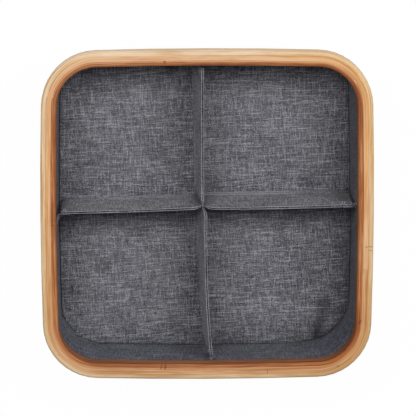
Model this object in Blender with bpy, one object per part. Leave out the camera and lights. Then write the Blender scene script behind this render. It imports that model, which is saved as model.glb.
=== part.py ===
"""A square storage tray: a bent bamboo rim, a stiffened cloth box hung from it,
a loose covered floor panel, and a cloth cross that makes four compartments.

Metres, +Z up. The origin is on the underside, below the middle of the rim.
"""

import math

import bmesh
import bpy
from mathutils import Vector

MM = 0.001
QUARTER_TURN = math.pi / 2
FULL_TURN = 2 * math.pi

# The whole tray, measured over its rim
TRAY_SIZE = 330 * MM
TRAY_HEIGHT = 100 * MM
CORNER_RADIUS = 55 * MM
SIDE_BOW = 1.5 * MM  # how far each side bows out between its corners

# Cloth, stiffener boards and the room left between pieces that touch
CLOTH = 0.6 * MM
WALL_BOARD = 1.5 * MM
WING_BOARD = 1.2 * MM
BOTTOM_BOARD = 2 * MM
INSERT_BOARD = 2.5 * MM
SEAT_GAP = 0.25 * MM

# The rim: three bamboo strips bent round one another and glued
RIM_DEPTH = 20 * MM
PLY_THICKNESS = 5 * MM
GLUE_LINE = 0.15 * MM
RIM_LIP = 1.55 * MM  # what is left of the inner strip below its rabbet
GROOVE_DEPTH = 12 * MM
OUTER_TOP_ROUND = 3 * MM
OUTER_BOTTOM_ROUND = 2 * MM
INNER_TOP_ROUND = 2.5 * MM
LIP_ROUND = 0.6 * MM
BUTT_GAP = 0.3 * MM

# Where each strip's two ends meet: on which side, and how far past its middle
OUTER_BUTT_SIDE = "east"
OUTER_BUTT_SHIFT = -35 * MM
MIDDLE_BUTT_SIDE = "south"
MIDDLE_BUTT_SHIFT = 60 * MM
INNER_BUTT_SIDE = "west"
INNER_BUTT_SHIFT = 8.5 * MM

# The cloth box
WALL_TAPER = 2 * MM  # each wall leans in this far from the rim to the floor

# The loose floor panel
INSERT_CLEARANCE = 0.6 * MM
INSERT_EDGE_ROUND = 1.6 * MM
INSERT_TURN_UNDER = 18 * MM

# The cross of four wings. It stands a little off centre and leans, as cloth does.
WING_HEIGHT = 71.5 * MM
CENTRE_TOP = Vector((-3.9 * MM, 6.9 * MM))
CENTRE_FOOT = Vector((-8.8 * MM, 7 * MM))
PINCH_GAP = 1.7 * MM  # from the centre line to each sleeve
PINCH_THICKNESS = 1.6 * MM
PINCH_LENGTH = 6 * MM
WING_END_GAP = 4 * MM  # from the rim's inner face to the sleeve's end
BOARD_END_GAP = 3 * MM  # from the sleeve's end to the board's
SEAM_RADIUS = 1.35 * MM

# The cloth tabs that hold the wings' ends to the walls
TAB_THICKNESS = 0.8 * MM
TAB_BEND = 4 * MM
TAB_LEG = 9 * MM
TAB_FLANGE = 8 * MM
TAB_DROP = 2 * MM
TAB_HEIGHT = 26 * MM
LIFT_CLEARANCE = 0.4 * MM  # from the rim's inner face, so that the cross lifts out

# The sides, counter-clockwise from +X. Each wing's line at its top and at its foot: how far it
# stands off its side's middle where it leaves the pinch, how far it bows on the way, and how far
# off it ends. All count to the left looking out, and so does a tab that isn't right-turned.
SIDES = ("east", "north", "west", "south")
TOP_LINES = {
    "east": (4.6 * MM, -0.7 * MM, 7 * MM),
    "north": (4.1 * MM, 0, 4.2 * MM),
    "west": (-4.6 * MM, 0.4 * MM, -0.7 * MM),
    "south": (-0.9 * MM, -2 * MM, 4.5 * MM),
}
FOOT_LINES = {
    "east": (8 * MM, 0, 9.8 * MM),
    "north": (8.9 * MM, 0, 12 * MM),
    "west": (-6 * MM, 0, -2 * MM),
    "south": (-8.5 * MM, -1 * MM, -0.5 * MM),
}
RIGHT_TURNED_TABS = ("east",)

# Steps and facets
SETTLING_ROUNDS = 8
CORNER_STEPS = 10
SIDE_STEPS = 4
ROUND_STEPS = 3
FOLD_STEPS = 6
WING_STEPS = 6
WALL_ROWS = 4
BEND_STEPS = 4
SEAM_SIDES = 8
ANGLE_TOLERANCE = 1e-6
SHARP_ANGLE = math.radians(40)


def bowed_side():
    """The radius of a bowed side, and the angle from its middle to where its corner starts.
    Each decides the other, so they settle in turns."""
    angle = 0
    for _ in range(SETTLING_ROUNDS):
        reach = HALF_SIZE - SIDE_BOW - CORNER_RADIUS * (math.cos(angle) - math.sin(angle))
        radius = (reach**2 + SIDE_BOW**2) / (2 * SIDE_BOW)
        angle = math.asin(reach / radius)
    return radius, angle


# Worked out from the sizes above
HALF_SIZE = TRAY_SIZE / 2
SIDE_RADIUS, SIDE_HALF_ANGLE = bowed_side()
CORNER_CENTRE = (SIDE_RADIUS - CORNER_RADIUS) * math.sin(SIDE_HALF_ANGLE)

RIM_TOP = TRAY_HEIGHT
RIM_BOTTOM = TRAY_HEIGHT - RIM_DEPTH
GROOVE_TOP = RIM_BOTTOM + GROOVE_DEPTH
GROOVE_WIDTH = 2 * CLOTH + WALL_BOARD + 4 * SEAT_GAP

MIDDLE_OUTER = PLY_THICKNESS + GLUE_LINE
MIDDLE_INNER = MIDDLE_OUTER + PLY_THICKNESS
INNER_OUTER = MIDDLE_INNER + GLUE_LINE
LIP_OUTER = MIDDLE_INNER + GROOVE_WIDTH
RIM_INNER = LIP_OUTER + RIM_LIP

COVER_OUTER = MIDDLE_INNER + SEAT_GAP
WALL_BOARD_OUTER = COVER_OUTER + CLOTH + SEAT_GAP
LINING_OUTER = WALL_BOARD_OUTER + WALL_BOARD + SEAT_GAP
WALL_TOP = GROOVE_TOP - SEAT_GAP

BOTTOM_BOARD_LOW = CLOTH + SEAT_GAP
BOTTOM_BOARD_TOP = BOTTOM_BOARD_LOW + BOTTOM_BOARD
LINING_LOW = BOTTOM_BOARD_TOP + SEAT_GAP
LINING_FLOOR = LINING_LOW + CLOTH
INSERT_LOW = LINING_FLOOR + SEAT_GAP
INSERT_BOARD_LOW = INSERT_LOW + CLOTH + SEAT_GAP
INSERT_BOARD_TOP = INSERT_BOARD_LOW + INSERT_BOARD
INSERT_TOP = INSERT_BOARD_TOP + SEAT_GAP + CLOTH

WING_FOOT = INSERT_TOP + SEAT_GAP
WING_TOP = WING_FOOT + WING_HEIGHT
WING_HALF = WING_BOARD / 2 + SEAT_GAP + CLOTH
WING_END = HALF_SIZE - RIM_INNER - WING_END_GAP
TAB_REACH = HALF_SIZE - RIM_INNER - LIFT_CLEARANCE

BAMBOO_OUTER = ("bamboo_outer", (0.70, 0.46, 0.23), 0.45)
BAMBOO_MIDDLE = ("bamboo_middle", (0.64, 0.36, 0.16), 0.45)
BAMBOO_INNER = ("bamboo_inner", (0.46, 0.17, 0.055), 0.5)
COVER_CLOTH = ("cover_cloth", (0.085, 0.088, 0.098), 0.95)
LINING_CLOTH = ("lining_cloth", (0.062, 0.066, 0.078), 0.95)
PANEL_CLOTH = ("panel_cloth", (0.115, 0.118, 0.13), 0.95)
WING_CLOTH = ("wing_cloth", (0.105, 0.108, 0.12), 0.95)
TAB_TAPE = ("tab_tape", (0.075, 0.078, 0.09), 0.9)
SEAM_THREAD = ("seam_thread", (0.16, 0.165, 0.18), 0.8)
STIFFENER = ("stiffener", (0.34, 0.29, 0.22), 0.85)


def clear_scene():
    for item in list(bpy.data.objects):
        bpy.data.objects.remove(item, do_unlink=True)


def material(look):
    """The Principled material of a (name, colour, roughness) look, made once."""
    name, colour, roughness = look
    found = bpy.data.materials.get(name)
    if found:
        return found
    made = bpy.data.materials.new(name)
    made.use_nodes = True
    shader = made.node_tree.nodes["Principled BSDF"]
    shader.inputs["Base Color"].default_value = (*colour, 1)
    shader.inputs["Roughness"].default_value = roughness
    shader.inputs["Metallic"].default_value = 0
    return made


def add_piece(name, mesh, look, parent=None):
    """A named object from a bmesh in the tray's own frame, hung on its parent if it has one."""
    bmesh.ops.recalc_face_normals(mesh, faces=mesh.faces)
    if parent:
        bmesh.ops.translate(mesh, verts=mesh.verts, vec=-place_of(parent))
    data = bpy.data.meshes.new(name)
    mesh.to_mesh(data)
    mesh.free()
    data.shade_smooth()
    data.set_sharp_from_angle(angle=SHARP_ANGLE)
    data.materials.append(material(look))
    piece = bpy.data.objects.new(name, data)
    piece.parent = parent
    bpy.context.collection.objects.link(piece)
    return piece


def add_carrier(name, height, parent=None):
    """An empty on the lift axis that carries the pieces of one moving body."""
    carrier = bpy.data.objects.new(name, None)
    carrier.parent = parent
    carrier.location.z = height - (place_of(parent).z if parent else 0)
    bpy.context.collection.objects.link(carrier)
    return carrier


def place_of(carrier):
    """Where an empty is, adding up the empties that carry it."""
    place = carrier.location.copy()
    return place + place_of(carrier.parent) if carrier.parent else place


def loft(sections, closed=False):
    """A closed body through sections of as many points each. Unless the sections close on
    one another, the first and the last are filled."""
    mesh = bmesh.new()
    rows = [[mesh.verts.new(point) for point in section] for section in sections]
    for here, there in zip(rows, rows[1:] + rows[:1] if closed else rows[1:]):
        for index, corner in enumerate(here):
            after = (index + 1) % len(here)
            mesh.faces.new((corner, here[after], there[after], there[index]))
    if not closed:
        mesh.faces.new(rows[0])
        mesh.faces.new(reversed(rows[-1]))
    return mesh


def arc(centre, radius, start, end, steps):
    """Points on an arc, from the start angle to the end angle in quarter turns."""
    angles = [(start + (end - start) * step / steps) * QUARTER_TURN for step in range(steps + 1)]
    return [(centre[0] + radius * math.cos(a), centre[1] + radius * math.sin(a)) for a in angles]


def rim_point(angle, offset):
    """The plan point where the outline faces this angle, so far inside the rim's outer face."""
    facing = Vector((math.cos(angle), math.sin(angle)))
    quarter = round(angle / QUARTER_TURN)
    if abs(angle - quarter * QUARTER_TURN) <= SIDE_HALF_ANGLE + ANGLE_TOLERANCE:
        side = Vector((math.cos(quarter * QUARTER_TURN), math.sin(quarter * QUARTER_TURN)))
        return (HALF_SIZE - SIDE_RADIUS) * side + (SIDE_RADIUS - offset) * facing
    corner = Vector((math.copysign(1, facing.x), math.copysign(1, facing.y)))
    return CORNER_CENTRE * corner + (CORNER_RADIUS - offset) * facing


def side_angles(quarter):
    """The angles along one bowed side."""
    steps = range(SIDE_STEPS + 1)
    return [
        quarter * QUARTER_TURN + SIDE_HALF_ANGLE * (2 * step / SIDE_STEPS - 1) for step in steps
    ]


def corner_angles(quarter):
    """The angles round the corner after a side, without its two ends."""
    turn = QUARTER_TURN - 2 * SIDE_HALF_ANGLE
    start = quarter * QUARTER_TURN + SIDE_HALF_ANGLE
    return [start + turn * step / CORNER_STEPS for step in range(1, CORNER_STEPS)]


def around_quarter(quarter):
    """The angles along one side and round the corner after it."""
    return side_angles(quarter) + corner_angles(quarter)


def outline_angles():
    """The angles once round the tray."""
    return [angle for quarter in range(len(SIDES)) for angle in around_quarter(quarter)]


def strip_angles(butt_side, butt_shift):
    """The angles round the tray from one side of a strip's butt joint to the other."""
    joint = SIDES.index(butt_side) * QUARTER_TURN + butt_shift / SIDE_RADIUS
    half_gap = BUTT_GAP / 2 / SIDE_RADIUS
    first, last = joint + half_gap, joint + FULL_TURN - half_gap
    turns = [angle + turn * FULL_TURN for turn in range(2) for angle in outline_angles()]
    between = [a for a in turns if first + half_gap < a < last - half_gap]
    return [first, *between, last]


def sweep(profile, angles, closed):
    """The profile of (offset, height) points carried round the tray."""
    sections = [[(*rim_point(angle, offset), z) for offset, z in profile] for angle in angles]
    return loft(sections, closed)


def stack(levels):
    """A body of (offset, height) outlines, each joined to the next, filled at both ends."""
    return loft([[(*rim_point(a, offset), z) for a in outline_angles()] for offset, z in levels])


def wall_offset(offset, height):
    """A wall's offset at this height: upright in the rim's groove, leaning in below it."""
    return offset + WALL_TAPER * max(0, 1 - height / RIM_BOTTOM)


def wall_profile(outer, thickness, low):
    """A layer of the wall, from this height up to the top of the rim's groove."""
    heights = (low, RIM_BOTTOM, WALL_TOP)
    rising = [(wall_offset(outer, z), z) for z in heights]
    falling = [(wall_offset(outer + thickness, z), z) for z in reversed(heights)]
    return rising + falling


def build_rim():
    """Three strips with rounded edges. The inner one is rabbeted to take the cloth wall."""
    outer_top = (OUTER_TOP_ROUND, RIM_TOP - OUTER_TOP_ROUND)
    outer_bottom = (OUTER_BOTTOM_ROUND, RIM_BOTTOM + OUTER_BOTTOM_ROUND)
    outer = [
        (PLY_THICKNESS, RIM_BOTTOM),
        *arc(outer_bottom, OUTER_BOTTOM_ROUND, 3, 2, ROUND_STEPS),
        *arc(outer_top, OUTER_TOP_ROUND, 2, 1, ROUND_STEPS),
        (PLY_THICKNESS, RIM_TOP),
    ]
    middle = [
        (MIDDLE_OUTER, RIM_BOTTOM),
        (MIDDLE_OUTER, RIM_TOP),
        (MIDDLE_INNER, RIM_TOP),
        (MIDDLE_INNER, RIM_BOTTOM),
    ]
    inner_top = (RIM_INNER - INNER_TOP_ROUND, RIM_TOP - INNER_TOP_ROUND)
    lip = (RIM_INNER - LIP_ROUND, RIM_BOTTOM + LIP_ROUND)
    inner = [
        (INNER_OUTER, RIM_TOP),
        *arc(inner_top, INNER_TOP_ROUND, 1, 0, ROUND_STEPS),
        *arc(lip, LIP_ROUND, 0, -1, ROUND_STEPS),
        (LIP_OUTER, RIM_BOTTOM),
        (LIP_OUTER, GROOVE_TOP),
        (INNER_OUTER, GROOVE_TOP),
    ]
    outer_angles = strip_angles(OUTER_BUTT_SIDE, OUTER_BUTT_SHIFT)
    middle_angles = strip_angles(MIDDLE_BUTT_SIDE, MIDDLE_BUTT_SHIFT)
    inner_angles = strip_angles(INNER_BUTT_SIDE, INNER_BUTT_SHIFT)
    add_piece("rim_outer_ply", sweep(outer, outer_angles, False), BAMBOO_OUTER)
    add_piece("rim_middle_ply", sweep(middle, middle_angles, False), BAMBOO_MIDDLE)
    add_piece("rim_inner_ply", sweep(inner, inner_angles, False), BAMBOO_INNER)


def build_cloth_box():
    """The outer cover, the stiffeners and the lining, whose top edges sit in the rim's groove."""
    cover = wall_profile(COVER_OUTER, CLOTH, 0)
    add_piece("cover_side_band", sweep(cover, outline_angles(), True), COVER_CLOTH)
    cover_edge = wall_offset(COVER_OUTER + CLOTH, 0) + SEAT_GAP
    panel = stack([(cover_edge, 0), (cover_edge, CLOTH)])
    add_piece("cover_bottom_panel", panel, COVER_CLOTH)

    board = stack([(cover_edge, BOTTOM_BOARD_LOW), (cover_edge, BOTTOM_BOARD_TOP)])
    add_piece("bottom_board", board, STIFFENER)
    wall_board = wall_profile(WALL_BOARD_OUTER, WALL_BOARD, LINING_LOW)
    for quarter, side in enumerate(SIDES):
        stiffener = sweep(wall_board, side_angles(quarter), False)
        add_piece(f"wall_board_{side}", stiffener, STIFFENER)

    lining = wall_profile(LINING_OUTER, CLOTH, LINING_LOW)
    add_piece("lining_side_band", sweep(lining, outline_angles(), True), LINING_CLOTH)
    lining_edge = wall_offset(LINING_OUTER + CLOTH, LINING_LOW) + SEAT_GAP
    panel = stack([(lining_edge, LINING_LOW), (lining_edge, LINING_FLOOR)])
    add_piece("lining_bottom_panel", panel, LINING_CLOTH)


def build_base_insert(carrier):
    """The loose floor panel: a board whose cloth is turned under all round and left open below."""
    tightest = max(RIM_INNER, wall_offset(LINING_OUTER + CLOTH, INSERT_LOW))
    outer = tightest + INSERT_CLEARANCE
    inner = outer + CLOTH
    board_edge = inner + SEAT_GAP
    turned = outer + INSERT_TURN_UNDER
    inner_round = INSERT_EDGE_ROUND - CLOTH
    edge = (outer + INSERT_EDGE_ROUND, INSERT_TOP - INSERT_EDGE_ROUND)
    cover = stack(
        [
            *arc(edge, INSERT_EDGE_ROUND, 1, 2, ROUND_STEPS),
            (outer, INSERT_LOW),
            (turned, INSERT_LOW),
            (turned, INSERT_LOW + CLOTH),
            (inner, INSERT_LOW + CLOTH),
            *arc(edge, inner_round, 2, 1, ROUND_STEPS),
        ]
    )
    add_piece("base_insert_cover", cover, PANEL_CLOTH, carrier)
    board = stack(
        [
            (board_edge, INSERT_BOARD_LOW),
            (board_edge, edge[1]),
            (outer + INSERT_EDGE_ROUND, INSERT_BOARD_TOP),
        ]
    )
    add_piece("base_insert_board", board, STIFFENER, carrier)


def centre_line(height):
    """Where the four sleeves meet in plan, at this height."""
    return CENTRE_FOOT.lerp(CENTRE_TOP, (height - WING_FOOT) / WING_HEIGHT)


def wing_axes(side):
    """A wing's plan directions: outwards, and to its left."""
    turn = SIDES.index(side) * QUARTER_TURN
    outward = Vector((math.cos(turn), math.sin(turn)))
    return outward, Vector((-outward.y, outward.x))


def wing_start(side, height):
    """How far out from the tray's middle a wing's sleeve starts."""
    return centre_line(height).dot(wing_axes(side)[0]) + PINCH_GAP


def wing_shift(side, along, height):
    """How far left of its side's middle the wing's middle plane stands, so far out: from the
    centre seam to the end of the pinch, then along its bowed line."""
    rise = (height - WING_FOOT) / WING_HEIGHT
    foot, top = FOOT_LINES[side], TOP_LINES[side]
    inner, bow, end = (low + (high - low) * rise for low, high in zip(foot, top))
    pinched = wing_start(side, height)
    if along < pinched + PINCH_LENGTH:
        seam = centre_line(height).dot(wing_axes(side)[1])
        return seam + (inner - seam) * (along - pinched) / PINCH_LENGTH
    run = WING_END - pinched - PINCH_LENGTH
    share = 1 - (WING_END - along) / run
    bowed = 4 * share * (1 - share)  # a parabola, 0 at both ends and 1 halfway
    return inner + (end - inner) * share + bow * bowed


def wing_point(side, along, across, height):
    """A point so far out from the tray's middle and so far left of the wing's middle plane."""
    outward, left = wing_axes(side)
    shift = wing_shift(side, along, height) + across
    return (*(along * outward + shift * left), height)


def wing_stations(side, height, end_gap=0):
    """How far out a wing's sections stand at this height, from the end of its pinch on."""
    first = wing_start(side, height) + PINCH_LENGTH
    steps = range(WING_STEPS)
    stations = [first + (WING_END - first) * step / WING_STEPS for step in steps]
    return [*stations, WING_END - end_gap]


def wall_rows(across, top):
    """One upright face of a wing, from its foot to this height, as (across, height) points."""
    rise = (top - WING_FOOT) / WALL_ROWS
    return [(across, WING_FOOT + row * rise) for row in range(WALL_ROWS + 1)]


def sleeve_profile(half):
    """A cloth folded over the wing's top, open below, as (across, height) points."""
    fold = WING_TOP - half
    inner = half - CLOTH
    return [
        *wall_rows(half, fold),
        *arc((0, fold), half, 0, 2, FOLD_STEPS)[1:-1],
        *reversed(wall_rows(-half, fold)),
        *wall_rows(-inner, fold),
        *arc((0, fold), inner, 2, 0, FOLD_STEPS)[1:-1],
        *reversed(wall_rows(inner, fold)),
    ]


def build_sleeve(side, carrier):
    """A wing's sleeve, pinched flat where it is sewn to the other three."""
    sections = [
        [
            wing_point(side, wing_start(side, height), across, height)
            for across, height in sleeve_profile(PINCH_THICKNESS / 2)
        ]
    ]
    for station in range(WING_STEPS + 1):
        sections.append(
            [
                wing_point(side, wing_stations(side, height)[station], across, height)
                for across, height in sleeve_profile(WING_HALF)
            ]
        )
    add_piece(f"wing_sleeve_{side}", loft(sections), WING_CLOTH, carrier)


def build_wing_board(side, carrier):
    """The stiffener inside a wing, clear of the pinch and of the sleeve's open end."""
    half = WING_BOARD / 2
    top = WING_TOP - WING_HALF
    outline = [*wall_rows(half, top), *reversed(wall_rows(-half, top))]
    sections = [
        [
            wing_point(side, wing_stations(side, height, BOARD_END_GAP)[station], across, height)
            for across, height in outline
        ]
        for station in range(WING_STEPS + 1)
    ]
    add_piece(f"wing_board_{side}", loft(sections), STIFFENER, carrier)


def build_end_tab(side, carrier):
    """A strip of tape sewn to the sleeve's face that bends away to lie along the wall."""
    turned = -1 if side in RIGHT_TURNED_TABS else 1
    face = WING_HALF + SEAT_GAP
    bend = (TAB_REACH - TAB_THICKNESS - TAB_BEND, face + TAB_THICKNESS + TAB_BEND)
    outline = [
        (bend[0] - TAB_LEG, face),
        *arc(bend, TAB_BEND + TAB_THICKNESS, -1, 0, BEND_STEPS),
        (TAB_REACH, bend[1] + TAB_FLANGE),
        (TAB_REACH - TAB_THICKNESS, bend[1] + TAB_FLANGE),
        *arc(bend, TAB_BEND, 0, -1, BEND_STEPS),
        (bend[0] - TAB_LEG, face + TAB_THICKNESS),
    ]
    top = WING_TOP - TAB_DROP
    sections = [
        [wing_point(side, along, turned * across, height) for along, across in outline]
        for height in (top - TAB_HEIGHT, top)
    ]
    add_piece(f"end_tab_{side}", loft(sections), TAB_TAPE, carrier)


def build_centre_seam(carrier):
    """The row of stitches that the four sleeves are gathered to."""
    ring = arc((0, 0), SEAM_RADIUS, 0, len(SIDES), SEAM_SIDES)[:-1]
    sections = [
        [(*(centre_line(height) + Vector(point)), height) for point in ring]
        for height in (WING_FOOT, WING_TOP - WING_HALF)
    ]
    add_piece("centre_seam", loft(sections), SEAM_THREAD, carrier)


def build_divider(carrier):
    for side in SIDES:
        build_sleeve(side, carrier)
        build_wing_board(side, carrier)
        build_end_tab(side, carrier)
    build_centre_seam(carrier)


def main():
    clear_scene()
    build_rim()
    build_cloth_box()
    base_insert = add_carrier("base_insert_lift", INSERT_LOW)
    build_base_insert(base_insert)
    build_divider(add_carrier("divider_lift", WING_FOOT, base_insert))


main()
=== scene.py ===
"""The looks of a square storage tray: a bent bamboo rim, a heathered cloth box with a loose
floor panel, and a cloth cross of four wings that makes the compartments.

Metres, +Z up. +X is the photograph's right and +Y its top.
"""

import math

import bpy
import numpy as np
from mathutils import Matrix, Vector, noise


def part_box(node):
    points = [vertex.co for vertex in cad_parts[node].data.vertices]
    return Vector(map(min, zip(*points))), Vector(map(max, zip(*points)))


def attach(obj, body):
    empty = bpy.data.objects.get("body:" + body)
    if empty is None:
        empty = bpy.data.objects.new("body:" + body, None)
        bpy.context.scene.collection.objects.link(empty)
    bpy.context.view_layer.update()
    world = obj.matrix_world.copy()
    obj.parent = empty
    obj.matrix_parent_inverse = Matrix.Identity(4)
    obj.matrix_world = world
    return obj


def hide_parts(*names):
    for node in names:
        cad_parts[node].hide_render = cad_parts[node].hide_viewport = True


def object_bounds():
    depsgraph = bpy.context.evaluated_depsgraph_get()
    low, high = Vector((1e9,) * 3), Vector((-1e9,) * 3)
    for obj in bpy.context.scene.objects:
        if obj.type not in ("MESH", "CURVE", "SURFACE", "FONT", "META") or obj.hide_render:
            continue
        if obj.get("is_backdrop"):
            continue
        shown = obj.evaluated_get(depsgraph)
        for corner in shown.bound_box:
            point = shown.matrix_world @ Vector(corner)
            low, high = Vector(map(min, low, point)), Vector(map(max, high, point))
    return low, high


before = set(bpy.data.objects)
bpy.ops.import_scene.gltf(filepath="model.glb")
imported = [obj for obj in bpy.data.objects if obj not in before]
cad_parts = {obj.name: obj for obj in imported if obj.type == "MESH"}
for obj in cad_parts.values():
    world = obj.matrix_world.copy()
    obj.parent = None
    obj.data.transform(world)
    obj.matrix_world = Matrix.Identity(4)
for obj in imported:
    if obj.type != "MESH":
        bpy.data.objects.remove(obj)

CAD_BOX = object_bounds()
MM = 0.001
QUARTER_TURN = math.pi / 2
FULL_TURN = 2 * math.pi
UP = np.array([0, 0, 1])
TINY = 1e-12

# The outline that the rim and the walls follow, and how many points a quarter of it has in
# half a corner and along a side when it is measured
HALF_SIZE = CAD_BOX[1].x
RIM_TOP = CAD_BOX[1].z
RIM_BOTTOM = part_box("rim_outer_ply")[0].z
CORNER_RADIUS = 55 * MM
SIDE_BOW = 1.5 * MM
SETTLING_ROUNDS = 8
FINE_CORNER_POINTS = 80
FINE_SIDE_POINTS = 160

# Cloth thickness, and how far the walls lean in from the rim to the floor
CLOTH = 0.6 * MM
WALL_TAPER = 2 * MM

# Lumps are given as (strength, size, place in the noise).
# The lining: its grid (spacing, rows), where it is held below the rim and above its foot, its
# waves, how it sags and swells in its corners, and the ridge at each board's edge, whose place
# and width are shares of a corner
LINING_GRID = (3 * MM, 34)
LINING_HOLD = (16 * MM, 3 * MM, 3 * MM)
LINING_WAVE = (0.28 * MM, 48 * MM, 1.1)
LINING_SOFTNESS = 1.5 * MM
LINING_CORNER_LUMPS = ((1, 30 * MM, 4.2), (0.5, 14 * MM, 9.6))
LINING_LEAST_SAG = -1.2 * MM
BOARD_RIDGE = 0.45 * MM
BOARD_RIDGE_SHARES = (0.06, 0.05)

# Between which heights above the ground and below the rim the lining stops leaning in to the
# panel's own edge
PANEL_LEAN_START = 30 * MM
PANEL_LEAN_END = 6 * MM

# How worn the lining is, how much painted shade darkens it from west to east, and where a
# pale patch is painted by the eastern wing's end: its middle (y, z), its size and its strength
LINING_WEAR = 0.05
LINING_SHADE = 0.34
PALE_PATCH_PLACE = (14 * MM, 64 * MM)
PALE_PATCH_SIZE = (8 * MM, 18 * MM)
PALE_PATCH_STRENGTH = 0.75

# The outer cloth wall, in the same terms
COVER_GRID = (4 * MM, 30)
COVER_HOLD = (12 * MM, 2 * MM, 5 * MM)
COVER_WAVE = (0.25 * MM, 55 * MM, 6.1)
COVER_CORNER_LUMP = (0.9 * MM, 32 * MM, 3.3)
COVER_LEAST_SWELL = -0.1 * MM

# The floor panel: its edge, the cloth turned under it, and its grid of square rings, whose
# angles are spaced evenly along the outline at the ring offset
PANEL_EDGE_ROUND = 1.1 * MM
PANEL_TURN_UNDER = 18 * MM
PANEL_EDGE_STEPS = 4
PANEL_SIDE_STEPS = 2
PANEL_UNDER_STEPS = 3
PANEL_RINGS = 36
RING_OFFSET = 17 * MM

# How the panel's cloth puffs up: how far, its level and lumps as shares, and how far from a
# wing's foot it starts and is whole
PANEL_PUFF = 0.9 * MM
PUFF_LEVEL = 0.55
PUFF_LUMPS = ((0.9, 70 * MM, 2.3), (0.35, 26 * MM, 7.7))
PUFF_START = (4 * MM, 26 * MM)

# How much painted light brightens the panel in its clear middles, and how much painted shade
# darkens it near the walls, more so at the east than at the west, in its south-east quarter,
# along its very edge, and on its side
PANEL_PAINTED_LIGHT = 0.09
EDGE_SHADE = 0.15
EDGE_SHADE_WIDTHS = (4 * MM, 28 * MM)
EASTERN_SHADE = 0.11
SOUTH_EAST_SHADE = 0.1
SOUTH_EAST_SHARES = (0.8, 0.3)
RIM_SHADE = 0.3
RIM_SHADE_WIDTH = 8 * MM
SIDE_SHADE = 0.9

# Where the panel's edge runs straight, each stretch as the way it faces and how far from the
# tray's middle it lies, how square on to it a point faces at least, and the centre and
# radius of the panel's rounder corner
STRAIGHT_EDGES = (
    (math.radians(214.7), 187 * MM), (math.radians(251.4), 173.6 * MM),
    (math.radians(1.2), 147.3 * MM),
)
LEAST_SQUARE_ON = 0.5
ROUND_CENTRE = np.array([98, -96]) * MM
ROUND_RADIUS = 49.5 * MM

# The fold beside the round corner, from point to point: how high its eastern side rises, how
# it fades out eastwards and at its two ends, and how dark the painted shade in its crease is
FOLD_ENDS = ((124 * MM, -100 * MM), (114 * MM, -138 * MM))
FOLD_RISE = 2.4 * MM
FOLD_HALF_WIDTH = 5.5 * MM
FOLD_REACH = 26 * MM
FOLD_FADES = ((-10 * MM, 6 * MM), (-14 * MM, 0))
FOLD_SHADE = 0.85

# The board inside the panel
BOARD_SPACING = 6 * MM
BOARD_FACE_RING = 30 * MM
BOARD_BEVEL = 1 * MM
BOARD_SHARP_ANGLE = math.radians(40)

# The wings' sleeves: half their width, the pinch at the centre seam, how they are drawn in at
# their outer ends, how finely they are built, how their sections are told apart in the CAD's
# sleeves, and their profile as distances from foot and top and shares of half the width. Then
# how far below the top their inside ends, and its least half width.
SIDES = ("east", "north", "west", "south")
WING_HALF = 1.45 * MM
PINCH_HALF = 0.8 * MM
PINCH_REACH = 7 * MM
END_DRAW_SHARE = 0.22
END_DRAW_REACH = 4 * MM
WING_SPACING = 1.6 * MM
WING_STEPS = 6
SHIFT_SOFTENING = 2
LEVEL_TOLERANCE = 0.01 * MM
PLACE_DIGITS = 4
SLEEVE_FOOT_ROWS = (
    (0 * MM, 1.0), (0.4 * MM, 1.25), (1.5 * MM, 1.38), (2.6 * MM, 1.38), (3 * MM, 1.06),
    (6 * MM, 1.08), (9.8 * MM, 1.1), (11.4 * MM, 1.34), (12.6 * MM, 1.36), (13 * MM, 1.0),
    (15 * MM, 1.02),
)
SLEEVE_TOP_ROWS = (
    (6 * MM, 1.0), (4.2 * MM, 0.96), (3.2 * MM, 0.92), (2.5 * MM, 0.78), (1.8 * MM, 0.9),
    (1.1 * MM, 0.95), (0.5 * MM, 0.93), (0.15 * MM, 0.86), (0 * MM, 0.76), (0.08 * MM, 0.66),
    (0.35 * MM, 0.5), (0.7 * MM, 0.34), (0.8 * MM, 0.18), (0.8 * MM, 0.0),
)
SLEEVE_ROW_SPACING = 3 * MM
SLEEVE_INSIDE_DROP = 1.45 * MM
LEAST_INSIDE = 0.1 * MM

# How the sleeves' faces are rumpled between foot and top: ripples, other ones on each side,
# and gathers that run out from the centre seam
SIDE_SEED_STEP = 3.7
RUMPLE_FOOT = 12 * MM
RUMPLE_TOP = (1 * MM, 9 * MM)
RIPPLE = (0.22 * MM, 22 * MM)
RIPPLE_LEVEL = 0.8
GATHER_REACH = 11 * MM
GATHER_PITCH = 9 * MM
GATHER_SLANT = 7 * MM
GATHER_DEPTH = 0.5 * MM
GATHER_LEVEL = 0.4

# How pale or dark the sleeves are painted: paler on their two crests, for wear and a painted
# highlight, darker with painted shade in the valley between them and in the stitched groove,
# paler with a painted highlight along their hems, which fades outwards, and unevenly by these
# lumps. Rows above the crest share of the half width are crest, and rows below the valley
# share valley.
CREST_WIDTH = 0.3 * MM
CREST_SHARE = 0.6
VALLEY_SHARE = 0.45
GROOVE_SHADE = 0.7
GROOVE_WIDTH = 0.9 * MM
HEM_LINES = (2.8 * MM, 12.8 * MM)
HEM_LINE_WIDTH = 1.3 * MM
HEM_HIGHLIGHTS = {"east": 1.6, "north": 0.6, "west": 0.9, "south": 0.3}
HEM_FADE = (50 * MM, 125 * MM)
HEM_FADE_SHARE = 0.7
SLEEVE_MARK_LEVEL = 0.85
SLEEVE_MARK_LUMPS = (0.5, 6 * MM)

# The painted light on each wing's faces, painted shade where it is below zero, which starts
# below the crests, and how much painted shade darkens them at the centre seam and at the
# outer ends
FACE_PAINTED_LIGHT = {"east": -0.09, "north": 0.03, "west": -0.11, "south": 0.02}
FACE_DEPTHS = (1.5 * MM, 5 * MM)
PIT_SHADE = 0.95
PIT_REACHES = {"east": 8 * MM, "north": 5 * MM, "west": 4.5 * MM, "south": 5 * MM}
END_SHADE = 1.2
END_REACHES = {"east": 15 * MM, "north": 5 * MM, "west": 6 * MM, "south": 5 * MM}
END_DEPTHS = (3 * MM, 22 * MM)

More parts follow.
